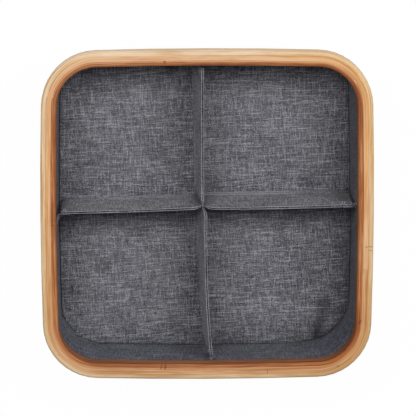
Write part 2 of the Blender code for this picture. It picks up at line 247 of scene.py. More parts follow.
# The sleeves' stitch lines, as distances from foot or top and shares of the half width, and
# how many columns they leave free at each end
HEM_STITCH = (11.6 * MM, 1.3)
CREST_STITCH = (0.05 * MM, 0.76)
GROOVE_STITCH = (2.5 * MM, 0.8)
STITCH_FREE_COLUMNS = 2

# Sewing thread, and how a stitch dips into the cloth and thins out at its ends, as shares of
# its radius
THREAD_RADIUS = 0.27 * MM
STITCH_PITCH = 3.1 * MM
STITCH_LENGTH = 2.3 * MM
THREAD_SIDES = 6
STITCH_LIFT_SHARES = (-0.9, 0.2, 0.55, 0.2, -0.9)
STITCH_GIRTH_SHARES = (0.6, 1, 1, 1, 0.6)
STEEP_SHARE = 0.8

# The long stitches that hold each tab: how far from the wing's end each starts, how deep they
# run below its top and how far outwards
TACK_STARTS = {
    "east": (11.2 * MM, 8.9 * MM), "north": (6 * MM, 4 * MM), "west": (5.4 * MM, 3.6 * MM),
    "south": (6 * MM, 4 * MM),
}
TACK_DEPTHS = (2.5 * MM, 16 * MM)
TACK_RUN = 3.2 * MM
TACK_RADIUS = 0.55 * MM
TACK_POINTS = 6
TACK_LENGTH_SHARE = 0.9

# The tabs at the wings' ends: their leg on the sleeve, their slant over to the wall, and the
# upper edge that curls against it
TAB_THICKNESS = 0.8 * MM
TAB_GAP = 0.25 * MM
TAB_LEG = 9 * MM
TAB_LEG_POINTS = 10
TAB_SLANT_POINTS = 11
TAB_SLANT_POWER = 1.5
TAB_ROWS = 20
TAB_STAND_OFF = 3.4 * MM
TAB_SPREADS = {"east": 3 * MM, "north": 5 * MM, "west": 11 * MM, "south": 3 * MM}
TAB_LEANS = {"east": 5.5 * MM, "north": 0, "west": 0, "south": 4.5 * MM}
TAB_CURL_HEIGHT = 9 * MM
TAB_CURL_SHARE = 0.85
TAB_CURL_START = (-1 * MM, 0.5 * MM)
TAB_WAVE = (0.3 * MM, 8 * MM, 5.5)
TAB_FLAT_END = 1 * MM
# How much paler each tab is painted, and the painted highlight along its upper edge and its width
TAB_PALENESS = {"east": 0.5, "north": 0.25, "west": 0.25, "south": 0.25}
TAB_EDGE_HIGHLIGHT = 0.3
TAB_EDGE_WIDTH = 0.8 * MM
RIGHT_TURNED_TABS = ("east",)

# The gathered centre seam: a tube with four soft ribs, lumpy, and closed over at its top
SEAM_RADIUS = 1.25 * MM
SEAM_ROWS = 40
SEAM_COLUMNS = 16
SEAM_RIB_SHARE = 0.28
SEAM_GIRTH_SHARE = 0.9
SEAM_LUMP_SHARE = 0.22
SEAM_LUMP_TURNS = 70
SEAM_LUMP_SIDES = 2
SEAM_LUMP_START = 1
SEAM_CLOSING_SHARE = 0.015

# Noise, where nothing else is said
NOISE_DETAIL = 2.0
NOISE_MIDDLE = 0.5
NOISE_ROUGHNESS = 0.6

# The yarns. Each has its own changes of tone along its length, as (strength, length of a lump),
# and here and there a paler slub, as (strength, length, levels between which it shows). Seeds
# and shifts are places in the noise.
PANEL_WEAVE_TURN = math.radians(3)
YARN_PITCH = 0.55 * MM
WEFT_TONES = ((0.75, 30 * MM), (0.6, 6 * MM), (0.75, 1.6 * MM))
WARP_TONES = ((0.68, 22 * MM), (0.55, 5 * MM), (0.65, 1.5 * MM))
WEFT_SLUB = (0.34, 34 * MM, 0.6, 0.7)
WARP_SLUB = (0.24, 24 * MM, 0.62, 0.72)
WEFT_SEED = 11.3
WARP_SEED = 57.9
YARN_SCATTER = 400.0
TONE_SHIFT = 17.7
SLUB_SHIFT = 91.3
CLOUD_TONE = (0.3, 45 * MM)
CLOTH_STOPS = (0.28, 0.5, 0.78)
WEAR_AND_LIGHT_STRENGTH = 0.8
THREAD_RELIEF = 0.35
CLOTH_BUMP = (0.1 * MM, 0.6)
CLOTH_ROUGHNESS = 0.95
CLOTH_SPECULAR = 0.2
SHEEN_ROUGHNESS = 0.5

# Each cloth: the dark, middle and light tones of its yarns as screen colours, how strong its
# changes of tone are, and its sheen
CLOTH_LOOKS = {
    "panel": (((40, 40, 45), (92, 92, 99), (165, 165, 171)), 0.46, 0.12),
    "wing": (((34, 35, 43), (77, 78, 89), (160, 160, 168)), 0.9, 0.15),
    "lining": (((38, 39, 49), (73, 74, 87), (127, 129, 142)), 0.8, 0.08),
    "tab": (((38, 40, 47), (76, 79, 88), (130, 132, 141)), 0.6, 0.1),
    "cover": (((52, 53, 59), (94, 95, 102), (150, 150, 156)), 0.6, 0.12),
}

# Thread and board: their dark and light tones as screen colours, the size of their grains,
# how rough they are and how deep the grains. Then how large and how strong clouds of tone are.
GRAINY_LOOKS = {
    "sewing_thread": (((128, 128, 133), (200, 200, 204)), 1.1 * MM, 0.8, 0.05 * MM),
    "grey_board": (((126, 116, 100), (158, 148, 130)), 0.8 * MM, 0.9, 0.05 * MM),
}
GRAIN_DETAIL = 4.0
CLOUD_GRAINS = 22
CLOUD_STRENGTH = 0.6
CLOUD_PLACE = (4.1, 0, 0)
GRAIN_STOPS = (0.3, 0.7)

# The bamboo's fibres: how strong, how many lumps to a turn of the tray, how wide, and where
# in the noise. Its amber streaks, in the same terms, are weakest at the west end of the north
# and south sides.
FIBRE_NOISES = (
    (0.6, 7, 1.3 * MM, 3.1), (0.75, 24, 0.5 * MM, 8.4), (0.5, 60, 0.9 * MM, 1.9),
    (0.65, 16, 9 * MM, 5.7),
)
AMBER_NOISE = (11, 1.6 * MM, 13.3)
AMBER_LEVELS = (0.42, 0.68)
AMBER_TINT = (1, 0.8, 0.38, 1)
LEAST_AMBER = 0.1
AMBER_SIDES = (-0.6, 0.3)
EASTERN_AMBER = 0.5
BAMBOO_STOPS = (0.28, 0.5, 0.72)
BAMBOO_ROUGHNESS = (0.5, 0.16)
BAMBOO_SPECULAR = 0.25
BAMBOO_BUMP = (0.08 * MM, 0.5)
PALE_EDGE_DEPTHS = (2 * MM, 2 / 3 * MM)
PALE_EDGE_SIDES = (0.3, 0.0)
KNOT_SPECKS = (1.2 * MM, 0.9 * MM, 1.2 * MM)
KNOT_SPECK_LEVELS = (0.3, 0.55)
KNOT_STRENGTH = 0.8
KNOT_DARKNESS = 0.4

# Each strip of the rim: its three tones as screen colours, its knots as (x, y, half the length
# across the strip, half the width along it), the angle where its ends meet with how much its
# tone changes on the way round, how much paler it is all round, how much painted light changes
# its tone at the north and at the east, and how much paler along its outer edge
RIM_STRIPS = {
    "rim_outer_ply": {
        "tones": ((188, 148, 104), (211, 177, 137), (231, 206, 174)),
        "knots": ((161 * MM, -31 * MM, 4 * MM, 0.7 * MM), (-146 * MM, -138 * MM, 3 * MM, 2 * MM)),
        "joint": (-0.79, 0.06), "paleness": (0.02, 0.07, -0.03), "edge_paleness": 0,
    },
    "rim_middle_ply": {
        "tones": ((178, 125, 82), (205, 156, 111), (225, 184, 146)),
        "knots": ((157.5 * MM, -31.5 * MM, 2 * MM, 0.6 * MM), (131 * MM, -153 * MM, 3 * MM, 1.5 * MM)),
        "joint": (-0.33, 0.1), "paleness": (0.02, 0.07, 0), "edge_paleness": 0,
    },
    "rim_inner_ply": {
        "tones": ((126, 68, 34), (164, 101, 58), (200, 146, 104)),
        "knots": ((-42 * MM, 154 * MM, 3 * MM, 1.6 * MM), (-46 * MM, -152 * MM, 3.4 * MM, 1 * MM),
                  (-42 * MM, -152 * MM, 3.4 * MM, 1.2 * MM), (152 * MM, -107 * MM, 2 * MM, 3 * MM)),
        "joint": (3.177, 0.06), "paleness": (-0.02, 0.01, 0), "edge_paleness": 0.27,
    },
}

# The camera, and where its middle line meets the rim's top
CAMERA_DISTANCE = 2.8
CAMERA_TILT_NORTH = math.radians(9.3)
CAMERA_TILT_WEST = math.radians(1.41)
CAMERA_AIM = Vector((0.57 * MM, 8.4 * MM, RIM_TOP))
CAMERA_LENS = 245.3

# Light, and the pale floor with its opening below the tray
KEY_DISTANCE = 2
KEY_SIZE = (3.0, 0.6)
KEY_TILT_NORTH = math.radians(19)
KEY_TILT_EAST = math.radians(6)
KEY_POWER = 42
WORLD_STRENGTH = 0.27
WHITE = (1, 1, 1, 1)
FLOOR_REACH = 4
FLOOR_LAP = 1 * MM
FLOOR_EDGE_SPACING = 6 * MM
FLOOR_COLOUR = (0.92, 0.92, 0.92, 1)
FLOOR_ROUGHNESS = 0.9
FLOOR_GLOW_SHARE = 0.98


def linear(red, green, blue):
    """A colour given as the 0 to 255 values of a screen, in linear light."""
    shares = (value / 255 for value in (red, green, blue))
    return (*(s / 12.92 if s <= 0.04045 else ((s + 0.055) / 1.055) ** 2.4 for s in shares), 1)


# Lines and noise

def smooth_step(value, low, high):
    """0 below low, 1 above high, and a soft rise between them."""
    share = np.clip((value - low) / (high - low), 0, 1)
    return share * share * (3 - 2 * share)


def bell(value, width):
    """1 where the value is 0, fading out both ways over this width."""
    return np.exp(-((value / width) ** 2))


def added_up(steps):
    return np.concatenate([[0], np.cumsum(steps)])


def gone_along(line):
    """How far along a line each of its points is."""
    return added_up(np.linalg.norm(np.diff(line, axis=0), axis=1))


def directions(angles):
    return np.stack([np.cos(angles), np.sin(angles)], -1)


def paired(first, second):
    return np.stack(np.broadcast_arrays(first, second), -1)


def with_height(plan, heights):
    return np.concatenate([plan, heights[..., None]], -1)


def lumps(points, size, seed):
    """Smooth noise from -1 to 1 at each point, with lumps of about this size."""
    flat = points.reshape(-1, points.shape[-1]) / size
    pad = np.zeros((len(flat), 3))
    pad[:, : flat.shape[1]] = flat
    pad[:, 2] += seed
    return np.array([noise.noise(Vector(p)) for p in pad]).reshape(points.shape[:-1])


def lumpy(points, kinds, level=0):
    """A level with several kinds of lumps added to it."""
    return sum((strength * lumps(points, size, seed) for strength, size, seed in kinds), level)


# The outline

def bowed_side():
    """The radius of a bowed side, and the angle from its middle to where its corner starts.
    Each decides the other, so they settle in turns."""
    angle = 0
    for _ in range(SETTLING_ROUNDS):
        reach = HALF_SIZE - SIDE_BOW - CORNER_RADIUS * (math.cos(angle) - math.sin(angle))
        radius = (reach**2 + SIDE_BOW**2) / (2 * SIDE_BOW)
        angle = math.asin(reach / radius)
    return radius, angle


SIDE_RADIUS, SIDE_HALF_ANGLE = bowed_side()
CORNER_CENTRE = (SIDE_RADIUS - CORNER_RADIUS) * math.sin(SIDE_HALF_ANGLE)


def outline(angles, offsets):
    """Plan points where the outline faces these angles, so far inside the rim's outer face."""
    angles, offsets = np.broadcast_arrays(angles, offsets)
    facing = directions(angles)
    middle = np.round(angles / QUARTER_TURN) * QUARTER_TURN
    inward = offsets[..., None]
    on_side = (HALF_SIZE - SIDE_RADIUS) * directions(middle) + (SIDE_RADIUS - inward) * facing
    in_corner = CORNER_CENTRE * np.sign(facing) + (CORNER_RADIUS - inward) * facing
    return np.where((np.abs(angles - middle) <= SIDE_HALF_ANGLE)[..., None], on_side, in_corner)


def fine_quarter(offset):
    """Angles from one corner's middle to the next, and how far along the outline each is."""
    eighth = QUARTER_TURN / 2
    angles = np.concatenate([
        np.linspace(-eighth, -SIDE_HALF_ANGLE, FINE_CORNER_POINTS),
        np.linspace(-SIDE_HALF_ANGLE, SIDE_HALF_ANGLE, FINE_SIDE_POINTS)[1:-1],
        np.linspace(SIDE_HALF_ANGLE, eighth, FINE_CORNER_POINTS),
    ])
    return angles, gone_along(outline(angles, offset))


def spaced_angles(spacing, offset):
    """Angles evenly spaced once round the outline, and how far along each of them is."""
    angles, along = fine_quarter(offset)
    count = round(along[-1] / spacing)
    places = np.arange(count) * along[-1] / count
    quarter = np.interp(places, along, angles)
    turns = np.arange(len(SIDES))[:, None]
    return (quarter + turns * QUARTER_TURN).ravel(), (places + turns * along[-1]).ravel()


def in_corners(angles):
    """0 along the straight sides, rising to 1 at each corner's middle."""
    turn = np.abs((angles + QUARTER_TURN / 2) % QUARTER_TURN - QUARTER_TURN / 2)
    share = (turn - SIDE_HALF_ANGLE) / (QUARTER_TURN / 2 - SIDE_HALF_ANGLE)
    return np.clip(share, 0, 1)


# Meshes

def grid_normals(grid, wrap):
    """The direction across a grid of points, columns crossed with rows."""
    if wrap:
        along = np.roll(grid, -1, 1) - np.roll(grid, 1, 1)
    else:
        along = np.gradient(grid, axis=1)
    normal = np.cross(along, np.gradient(grid, axis=0))
    return normal / np.maximum(np.linalg.norm(normal, axis=-1, keepdims=True), TINY)


def tube_faces(index):
    """Quads between rings of points, numbered a ring to a row."""
    after = np.roll(index, -1, 1)
    quads = np.stack([index[:-1], after[:-1], after[1:], index[1:]], -1)
    return quads.reshape(-1, 4).tolist()


def shell_faces(rows, columns, wrap):
    """Quads of a closed shell: a grid, the grid behind it turned over, and the rim between."""
    count = rows * columns
    index = np.arange(count).reshape(rows, columns)
    if wrap:
        index = np.concatenate([index, index[:, :1]], 1)
    quads = [index[:-1, :-1], index[:-1, 1:], index[1:, 1:], index[1:, :-1]]
    front = np.stack(quads, -1).reshape(-1, 4)
    borders = [index[0], index[-1][::-1]]
    if not wrap:
        borders += [index[::-1, 0], index[:, -1]]
    rims = [np.stack([b[1:], b[:-1], b[:-1] + count, b[1:] + count], -1) for b in borders]
    return np.concatenate([front, front[:, ::-1] + count, *rims])


def linked(name, data):
    """A new object in the scene."""
    made = bpy.data.objects.new(name, data)
    bpy.context.scene.collection.objects.link(made)
    return made


def add_object(name, points, faces, material, body, slot, replaced=()):
    """A smooth mesh object that rides on a body and stands for the CAD nodes named."""
    mesh = bpy.data.meshes.new(name)
    mesh.from_pydata(points.tolist(), [], faces)
    mesh.validate()
    mesh.shade_smooth()
    mesh.materials.append(material)
    made = linked(name, mesh)
    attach(made, body)
    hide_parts(*replaced)
    return made


def add_attribute(mesh, name, kind, domain, key, values):
    made = mesh.attributes.new(name, kind, domain)
    made.data.foreach_set(key, values.astype(np.float32).ravel())


def add_cloth(name, grid, weave, looks, wear_and_painted_light=None, wrap=0, behind=None, thickness=CLOTH):
    """A cloth shell from a grid of points on its shown face. weave is where each point lies
    on the flat cloth, the wear and light values say how much paler or darker each point is
    painted, for wear, painted light and painted shade, and wrap is the flat length that a grid
    closed on itself goes round."""
    rows, columns = grid.shape[:2]
    if behind is None:
        behind = grid - thickness * grid_normals(grid, wrap)
    points = np.concatenate([grid.reshape(-1, 3), behind.reshape(-1, 3)])
    faces = shell_faces(rows, columns, wrap)
    made = add_object(name, points, faces.tolist(), *looks)
    corners = weave.reshape(-1, 2)[faces % (rows * columns)]
    if wrap:
        behind_seam = corners[..., 0].max(1, keepdims=True) - corners[..., 0] > wrap / 2
        corners[..., 0] += wrap * behind_seam
    wear_and_light_values = np.zeros(rows * columns) if wear_and_painted_light is None else wear_and_painted_light.ravel()
    add_attribute(made.data, "weave", "FLOAT2", "CORNER", "vector", corners)
    add_attribute(made.data, "wear_and_painted_light", "FLOAT", "POINT", "value", np.tile(wear_and_light_values, 2))
    return made


# Materials

def feed(tree, socket, value):
    """Links a socket to another node's output, or sets its value."""
    if isinstance(value, bpy.types.NodeSocket):
        tree.links.new(value, socket)
    else:
        socket.default_value = value


def add_node(tree, kind, inputs, **settings):
    made = tree.nodes.new(f"ShaderNode{kind}")
    for name, value in settings.items():
        setattr(made, name, value)
    for name, value in inputs.items():
        feed(tree, made.inputs[name], value)
    return made


def calc(tree, operation, *values):
    """The result of a Math node."""
    return add_node(tree, "Math", dict(enumerate(values)), operation=operation).outputs[0]


def centred(tree, value):
    """A share from 0 to 1, moved to lie about zero."""
    return calc(tree, "SUBTRACT", value, NOISE_MIDDLE)


def noise_of(tree, vector, stretch, detail=NOISE_DETAIL, offset=(0, 0, 0)):
    """Noise from 0 to 1 whose lumps are as long as stretch says along each axis, in metres."""
    values = {0: vector, 1: tuple(1 / length for length in stretch), 2: offset}
    scaled = add_node(tree, "VectorMath", values, operation="MULTIPLY_ADD").outputs["Vector"]
    inputs = {"Vector": scaled, "Scale": 1.0, "Detail": detail, "Roughness": NOISE_ROUGHNESS}
    return add_node(tree, "TexNoise", inputs).outputs["Fac"]


def spread(tree, value, low, high, least=0.0):
    """The value's run from low to high, as least to 1."""
    inputs = {"Value": value, "From Min": low, "From Max": high, "To Min": least}
    return add_node(tree, "MapRange", inputs).outputs["Result"]


def mixed(tree, share, first, second, blend="MIX"):
    """One colour mixed into another."""
    made = add_node(tree, "Mix", {0: share}, data_type="RGBA", blend_type=blend)
    feed(tree, made.inputs[6], first)
    feed(tree, made.inputs[7], second)
    return made.outputs[2]


def ramp(tree, value, places, colours):
    """A colour ramp with a colour at each place."""
    made = add_node(tree, "ValToRGB", {0: value})
    elements = made.color_ramp.elements
    while len(elements) < len(places):
        elements.new(0.5)
    for element, place, colour in zip(elements, places, colours):
        element.position = place
        element.color = colour
    return made.outputs["Color"]


def new_material(name, roughness, **values):
    """A Principled material, its node tree and its shader."""
    made = bpy.data.materials.new(name)
    made.use_nodes = True
    shader = made.node_tree.nodes["Principled BSDF"]
    shader.inputs["Roughness"].default_value = roughness
    for key, value in values.items():
        shader.inputs[key.replace("_", " ")].default_value = value
    return made, made.node_tree, shader


def add_bump(tree, shader, height, distance, strength=1.0):
    inputs = {"Height": height, "Distance": distance, "Strength": strength}
    bump = add_node(tree, "Bump", inputs)
    feed(tree, shader.inputs["Normal"], bump.outputs["Normal"])


def yarn_tones(tree, along, across, tones, slub, seed):
    """The changes of tone of parallel yarns, each with its own along its length."""
    row = calc(tree, "FLOOR", calc(tree, "DIVIDE", across, YARN_PITCH))
    own = add_node(tree, "TexWhiteNoise", {"W": calc(tree, "ADD", row, seed)},
                   noise_dimensions="1D")
    start = calc(tree, "MULTIPLY", own.outputs["Value"], YARN_SCATTER)

    def along_yarn(length, shift):
        place = calc(tree, "ADD", calc(tree, "DIVIDE", along, length), start)
        inputs = {"W": calc(tree, "ADD", place, shift), "Scale": 1.0, "Detail": 1.0}
        return add_node(tree, "TexNoise", inputs, noise_dimensions="1D").outputs["Fac"]

    total = 0.0
    for number, (strength, length) in enumerate(tones):
        tone = centred(tree, along_yarn(length, number * TONE_SHIFT))
        total = calc(tree, "MULTIPLY_ADD", tone, strength, total)
    strength, length, low, high = slub
    shown = spread(tree, along_yarn(length, SLUB_SHIFT), low, high)
    return calc(tree, "MULTIPLY_ADD", shown, strength, total)


def thread_waves(tree, over, under):
    """The hills and hollows of a plain weave."""
    wave = FULL_TURN / (2 * YARN_PITCH)
    sines = (calc(tree, "SINE", calc(tree, "MULTIPLY", way, wave)) for way in (over, under))
    return calc(tree, "MULTIPLY", *sines)


def cloth_material(kind):
    """Heathered plain weave: yarns that change tone along their length, with slubs, a paler
    tone for wear and painted light, and a darker one, painted shade in its creases and hollows,
    where the wear and light value is below zero."""
    tones, contrast, sheen = CLOTH_LOOKS[kind]
    tones = [linear(*tone) for tone in tones]
    made, tree, shader = new_material(
        f"heathered_{kind}", CLOTH_ROUGHNESS, Sheen_Weight=sheen,
        Sheen_Roughness=SHEEN_ROUGHNESS, Specular_IOR_Level=CLOTH_SPECULAR)
    weave, wear_and_painted_light = (add_node(tree, "Attribute", {}, attribute_name=name).outputs for name in
                   ("weave", "wear_and_painted_light"))
    parts = add_node(tree, "SeparateXYZ", {0: weave["Vector"]})
    over, under = parts.outputs["X"], parts.outputs["Y"]
    yarns = calc(tree, "ADD", yarn_tones(tree, over, under, WEFT_TONES, WEFT_SLUB, WEFT_SEED),
                 yarn_tones(tree, under, over, WARP_TONES, WARP_SLUB, WARP_SEED))
    strength, size = CLOUD_TONE
    cloud = centred(tree, noise_of(tree, weave["Vector"], (size, size, 1)))
    yarns = calc(tree, "MULTIPLY_ADD", cloud, strength, yarns)
    colour = ramp(tree, calc(tree, "MULTIPLY_ADD", yarns, contrast, NOISE_MIDDLE),
                  CLOTH_STOPS, tones)
    # Paler for wear and painted light, darker for painted shade
    for sign, tone in ((1, tones[-1]), (-1, tones[0])):
        share = calc(tree, "MULTIPLY", wear_and_painted_light["Fac"], sign * WEAR_AND_LIGHT_STRENGTH)
        colour = mixed(tree, share, colour, tone)
    feed(tree, shader.inputs["Base Color"], colour)
    height = calc(tree, "MULTIPLY_ADD", thread_waves(tree, over, under), THREAD_RELIEF, yarns)
    add_bump(tree, shader, height, *CLOTH_BUMP)
    return made


def grainy_material(name):
    """A matt material whose tone and surface vary in small grains."""
    tones, size, roughness, depth = GRAINY_LOOKS[name]
    made, tree, shader = new_material(name, roughness)
    place = add_node(tree, "TexCoord", {}).outputs["Object"]
    grain = noise_of(tree, place, (size,) * 3, GRAIN_DETAIL)
    cloudy = noise_of(tree, place, (size * CLOUD_GRAINS,) * 3, offset=CLOUD_PLACE)
    value = calc(tree, "MULTIPLY_ADD", centred(tree, cloudy), CLOUD_STRENGTH, grain)
    colour = ramp(tree, value, GRAIN_STOPS, [linear(*tone) for tone in tones])
    feed(tree, shader.inputs["Base Color"], colour)
    add_bump(tree, shader, grain, depth)
    return made


CLOTHS = {kind: cloth_material(kind) for kind in CLOTH_LOOKS}
THREAD, GREYBOARD = (grainy_material(name) for name in GRAINY_LOOKS)


# The bamboo rim

def length_of(tree, first, second):
    """The length of a plan vector."""
    squares = calc(tree, "MULTIPLY", second, second)
    return calc(tree, "SQRT", calc(tree, "MULTIPLY_ADD", first, first, squares))


def rim_depth(tree, across, up):
    """How far inside the outline a point lies."""
    far_x, far_y = calc(tree, "ABSOLUTE", across), calc(tree, "ABSOLUTE", up)
    larger, smaller = calc(tree, "MAXIMUM", far_x, far_y), calc(tree, "MINIMUM", far_x, far_y)
    from_centre = length_of(tree, calc(tree, "ADD", larger, SIDE_RADIUS - HALF_SIZE), smaller)
    from_corner = length_of(tree, *(
        calc(tree, "SUBTRACT", value, CORNER_CENTRE) for value in (larger, smaller)))
    depths = add_node(tree, "Mix", {
        0: calc(tree, "GREATER_THAN", smaller, CORNER_CENTRE),
        2: calc(tree, "SUBTRACT", SIDE_RADIUS, from_centre),
        3: calc(tree, "SUBTRACT", CORNER_RADIUS, from_corner),
    })
    return depths.outputs[0]


class RimPlace:
    """Where a point of the rim is, as outputs of nodes: its place, how far inside the outline
    it lies, the way it lies from the tray's middle, and how far east or west that is."""

    def __init__(self, tree):
        self.tree = tree
        self.place = add_node(tree, "TexCoord", {}).outputs["Object"]
        parts = add_node(tree, "SeparateXYZ", {0: self.place})
        self.across, self.up, self.height = (parts.outputs[axis] for axis in "XYZ")
        self.depth = rim_depth(tree, self.across, self.up)
        radius = length_of(tree, self.across, self.up)
        self.cosine = calc(tree, "DIVIDE", self.across, radius)
        self.sine = calc(tree, "DIVIDE", self.up, radius)
        self.sideways = calc(tree, "SUBTRACT", calc(tree, "ABSOLUTE", self.cosine),
                             calc(tree, "ABSOLUTE", self.sine))

    def fibres(self, turns, size, seed):
        """Noise that is long round the tray, turns lumps to a turn, and fine across."""
        tree = self.tree
        vector = add_node(tree, "CombineXYZ", {
            0: calc(tree, "MULTIPLY_ADD", self.cosine, turns / FULL_TURN, seed),
            1: calc(tree, "MULTIPLY", self.sine, turns / FULL_TURN),
            2: calc(tree, "DIVIDE", self.depth, size),
        }).outputs[0]
        inputs = {"Vector": vector, "W": calc(tree, "DIVIDE", self.height, size), "Scale": 1.0,
                  "Detail": NOISE_DETAIL, "Roughness": NOISE_ROUGHNESS}
        return add_node(tree, "TexNoise", inputs, noise_dimensions="4D").outputs["Fac"]

    def from_line(self, x, y, distance):
        """How far a point lies from a line that faces along x and y at this distance."""
        tree = self.tree
        out = calc(tree, "MULTIPLY_ADD", self.across, x, calc(tree, "MULTIPLY", self.up, y))
        return calc(tree, "ABSOLUTE", calc(tree, "SUBTRACT", out, distance))


def pale_edge(rim, node_name):
    """1 along a strip's outer edge at the north and south, and 0 elsewhere."""
    start = HALF_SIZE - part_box(node_name)[1].x
    low, high = PALE_EDGE_DEPTHS
    on_edge = spread(rim.tree, rim.depth, start + low, start + high)
    return calc(rim.tree, "MULTIPLY", on_edge, spread(rim.tree, rim.sideways, *PALE_EDGE_SIDES))


def from_joint(rim, angle, step):
    """A slow change of tone once round the tray, which jumps where the strip's ends meet."""
    turned = calc(rim.tree, "ARCTAN2", rim.up, rim.across)
    gone = calc(rim.tree, "WRAP", calc(rim.tree, "SUBTRACT", turned, angle), FULL_TURN, 0)
    return calc(rim.tree, "MULTIPLY_ADD", gone, -step / FULL_TURN, step / 2)


def bamboo_value(rim, node_name):
    """How pale a strip is: its fibres, painted light on its northern and eastern sides, its outer edge
    and its butt joint.
    """
    looks = RIM_STRIPS[node_name]
    all_round, northern, eastern = looks["paleness"]
    value = NOISE_MIDDLE + all_round
    changes = [(centred(rim.tree, rim.fibres(*kind)), weight) for weight, *kind in FIBRE_NOISES]
    # Painted light: the tone changes towards the north and the east, as the light falls
    changes += [(rim.sine, northern), (rim.cosine, eastern)]
    changes.append((pale_edge(rim, node_name), looks["edge_paleness"]))
    for change, weight in changes:
        value = calc(rim.tree, "MULTIPLY_ADD", change, weight, value)
    return calc(rim.tree, "ADD", value, from_joint(rim, *looks["joint"]))


def amber_streaks(rim):
    """How amber the wood is: streaks, most of them on the tray's east and west sides."""
    streaks = spread(rim.tree, rim.fibres(*AMBER_NOISE), *AMBER_LEVELS)
    sideways = calc(rim.tree, "MULTIPLY_ADD", rim.cosine, EASTERN_AMBER, rim.sideways)
    return calc(rim.tree, "MULTIPLY", streaks,
                spread(rim.tree, sideways, *AMBER_SIDES, LEAST_AMBER))


def knot_marks(rim, knots):
    """The transverse marks of the cane's knots, broken up into specks."""
    tree = rim.tree
    marks = 0.0
    for at_x, at_y, half_across, half_along in knots:
        far = math.hypot(at_x, at_y)
        x, y = at_x / far, at_y / far
        near = spread(tree, rim.from_line(y, -x, 0), half_along, half_along / 2)
        within = spread(tree, rim.from_line(x, y, far), half_across, half_across / 2)
        marks = calc(tree, "MAXIMUM", marks, calc(tree, "MULTIPLY", near, within))
    specks = spread(tree, noise_of(tree, rim.place, KNOT_SPECKS, 1.0), *KNOT_SPECK_LEVELS)
    return calc(tree, "MULTIPLY", calc(tree, "MULTIPLY", marks, specks), KNOT_STRENGTH)


def bamboo_material(node_name):
    """A bent bamboo strip, with long fibres that follow the outline."""
    looks = RIM_STRIPS[node_name]
    tones = [linear(*tone) for tone in looks["tones"]]
    made, tree, shader = new_material(
        f"bamboo_{node_name}", BAMBOO_ROUGHNESS[0], Specular_IOR_Level=BAMBOO_SPECULAR)
    rim = RimPlace(tree)
    value = bamboo_value(rim, node_name)
    colour = ramp(tree, value, BAMBOO_STOPS, tones)
    amber = mixed(tree, 1.0, colour, AMBER_TINT, "MULTIPLY")
    colour = mixed(tree, amber_streaks(rim), colour, amber)
    knot_tone = tuple(channel * KNOT_DARKNESS for channel in tones[0][:3]) + (1,)
    colour = mixed(tree, knot_marks(rim, looks["knots"]), colour, knot_tone)
    feed(tree, shader.inputs["Base Color"], colour)
    least, more = BAMBOO_ROUGHNESS
    feed(tree, shader.inputs["Roughness"], calc(tree, "MULTIPLY_ADD", value, more, least))
    add_bump(tree, shader, value, *BAMBOO_BUMP)
    return made


def dress_rim():
    for name in RIM_STRIPS:
        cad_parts[name].material_slots[0].material = bamboo_material(name)


# The floor panel

def straight_push(plan, facing):
    """How far the panel's straight stretches push its outline in."""
    push = np.zeros(facing.shape[:-1])
    for turn, distance in STRAIGHT_EDGES:
        straight = np.array([math.cos(turn), math.sin(turn)])
        square_on = facing @ straight
        past = (plan @ straight - distance) / np.maximum(square_on, LEAST_SQUARE_ON)
        push = np.maximum(push, np.where(square_on > LEAST_SQUARE_ON, past, 0))
    return push


def round_push(plan, facing):
    """How far the panel's rounder corner pushes its outline in."""
    out = plan - ROUND_CENTRE
    ahead = (out * facing).sum(-1)
    reach = ahead**2 - (out**2).sum(-1) + ROUND_RADIUS**2
    beside = (out[..., 0] > 0) & (out[..., 1] < 0) & (reach > 0)
    return np.where(beside, ahead - np.sqrt(np.clip(reach, 0, None)), 0)


def edge_cut(angles, offset):
    """How far the panel's own edge pushes in an outline that lies at this offset."""
    plan, facing = outline(angles, offset), directions(angles)
    return np.maximum(straight_push(plan, facing), round_push(plan, facing))


def square_rings(count):
    """A grid of square rings. Gives each point's ring number, and the angle that it faces."""
    span = np.arange(-count, count + 1)
    column, row = np.meshgrid(span, span)
    ring = np.maximum(np.abs(column), np.abs(row))
    on_side = [(column == ring) & (row < ring), (row == ring) & (column > -ring),
               (column == -ring) & (row > -ring)]
    quarter = np.select(on_side, [0, 1, 2], 3)
    share = np.select(on_side, [row, -column, -row], column) / np.maximum(ring, 1)
    angles, along = fine_quarter(RING_OFFSET)
    angle = np.interp((share + 1) / 2 * along[-1], along, angles) + quarter * QUARTER_TURN
    return ring, angle


def panel_grid(edge_offset, top, profile, cut=True):
    """A sheet over the tray's floor: rings that grow out to the edge, then follow a profile of
    (offset, height, distance gone) over it. Gives the points and the flat cloth's places."""
    ring, angle = square_rings(PANEL_RINGS + len(profile))
    over = ring - PANEL_RINGS
    steps = np.array([(edge_offset, top, 0), *profile])
    offset, height, gone = steps[np.clip(over, 0, None)].transpose(2, 0, 1)
    push = edge_cut(angle, edge_offset) if cut else np.zeros_like(angle)
    inner = np.minimum(ring / PANEL_RINGS, 1)[..., None]
    flat = outline(angle, edge_offset + push) * inner
    plan = np.where((over > 0)[..., None], outline(angle, offset + push), flat)
    flat = flat + directions(angle) * gone[..., None]
    turn = PANEL_WEAVE_TURN
    spin = np.array([[math.cos(turn), -math.sin(turn)], [math.sin(turn), math.cos(turn)]])
    return with_height(plan, height), flat @ spin


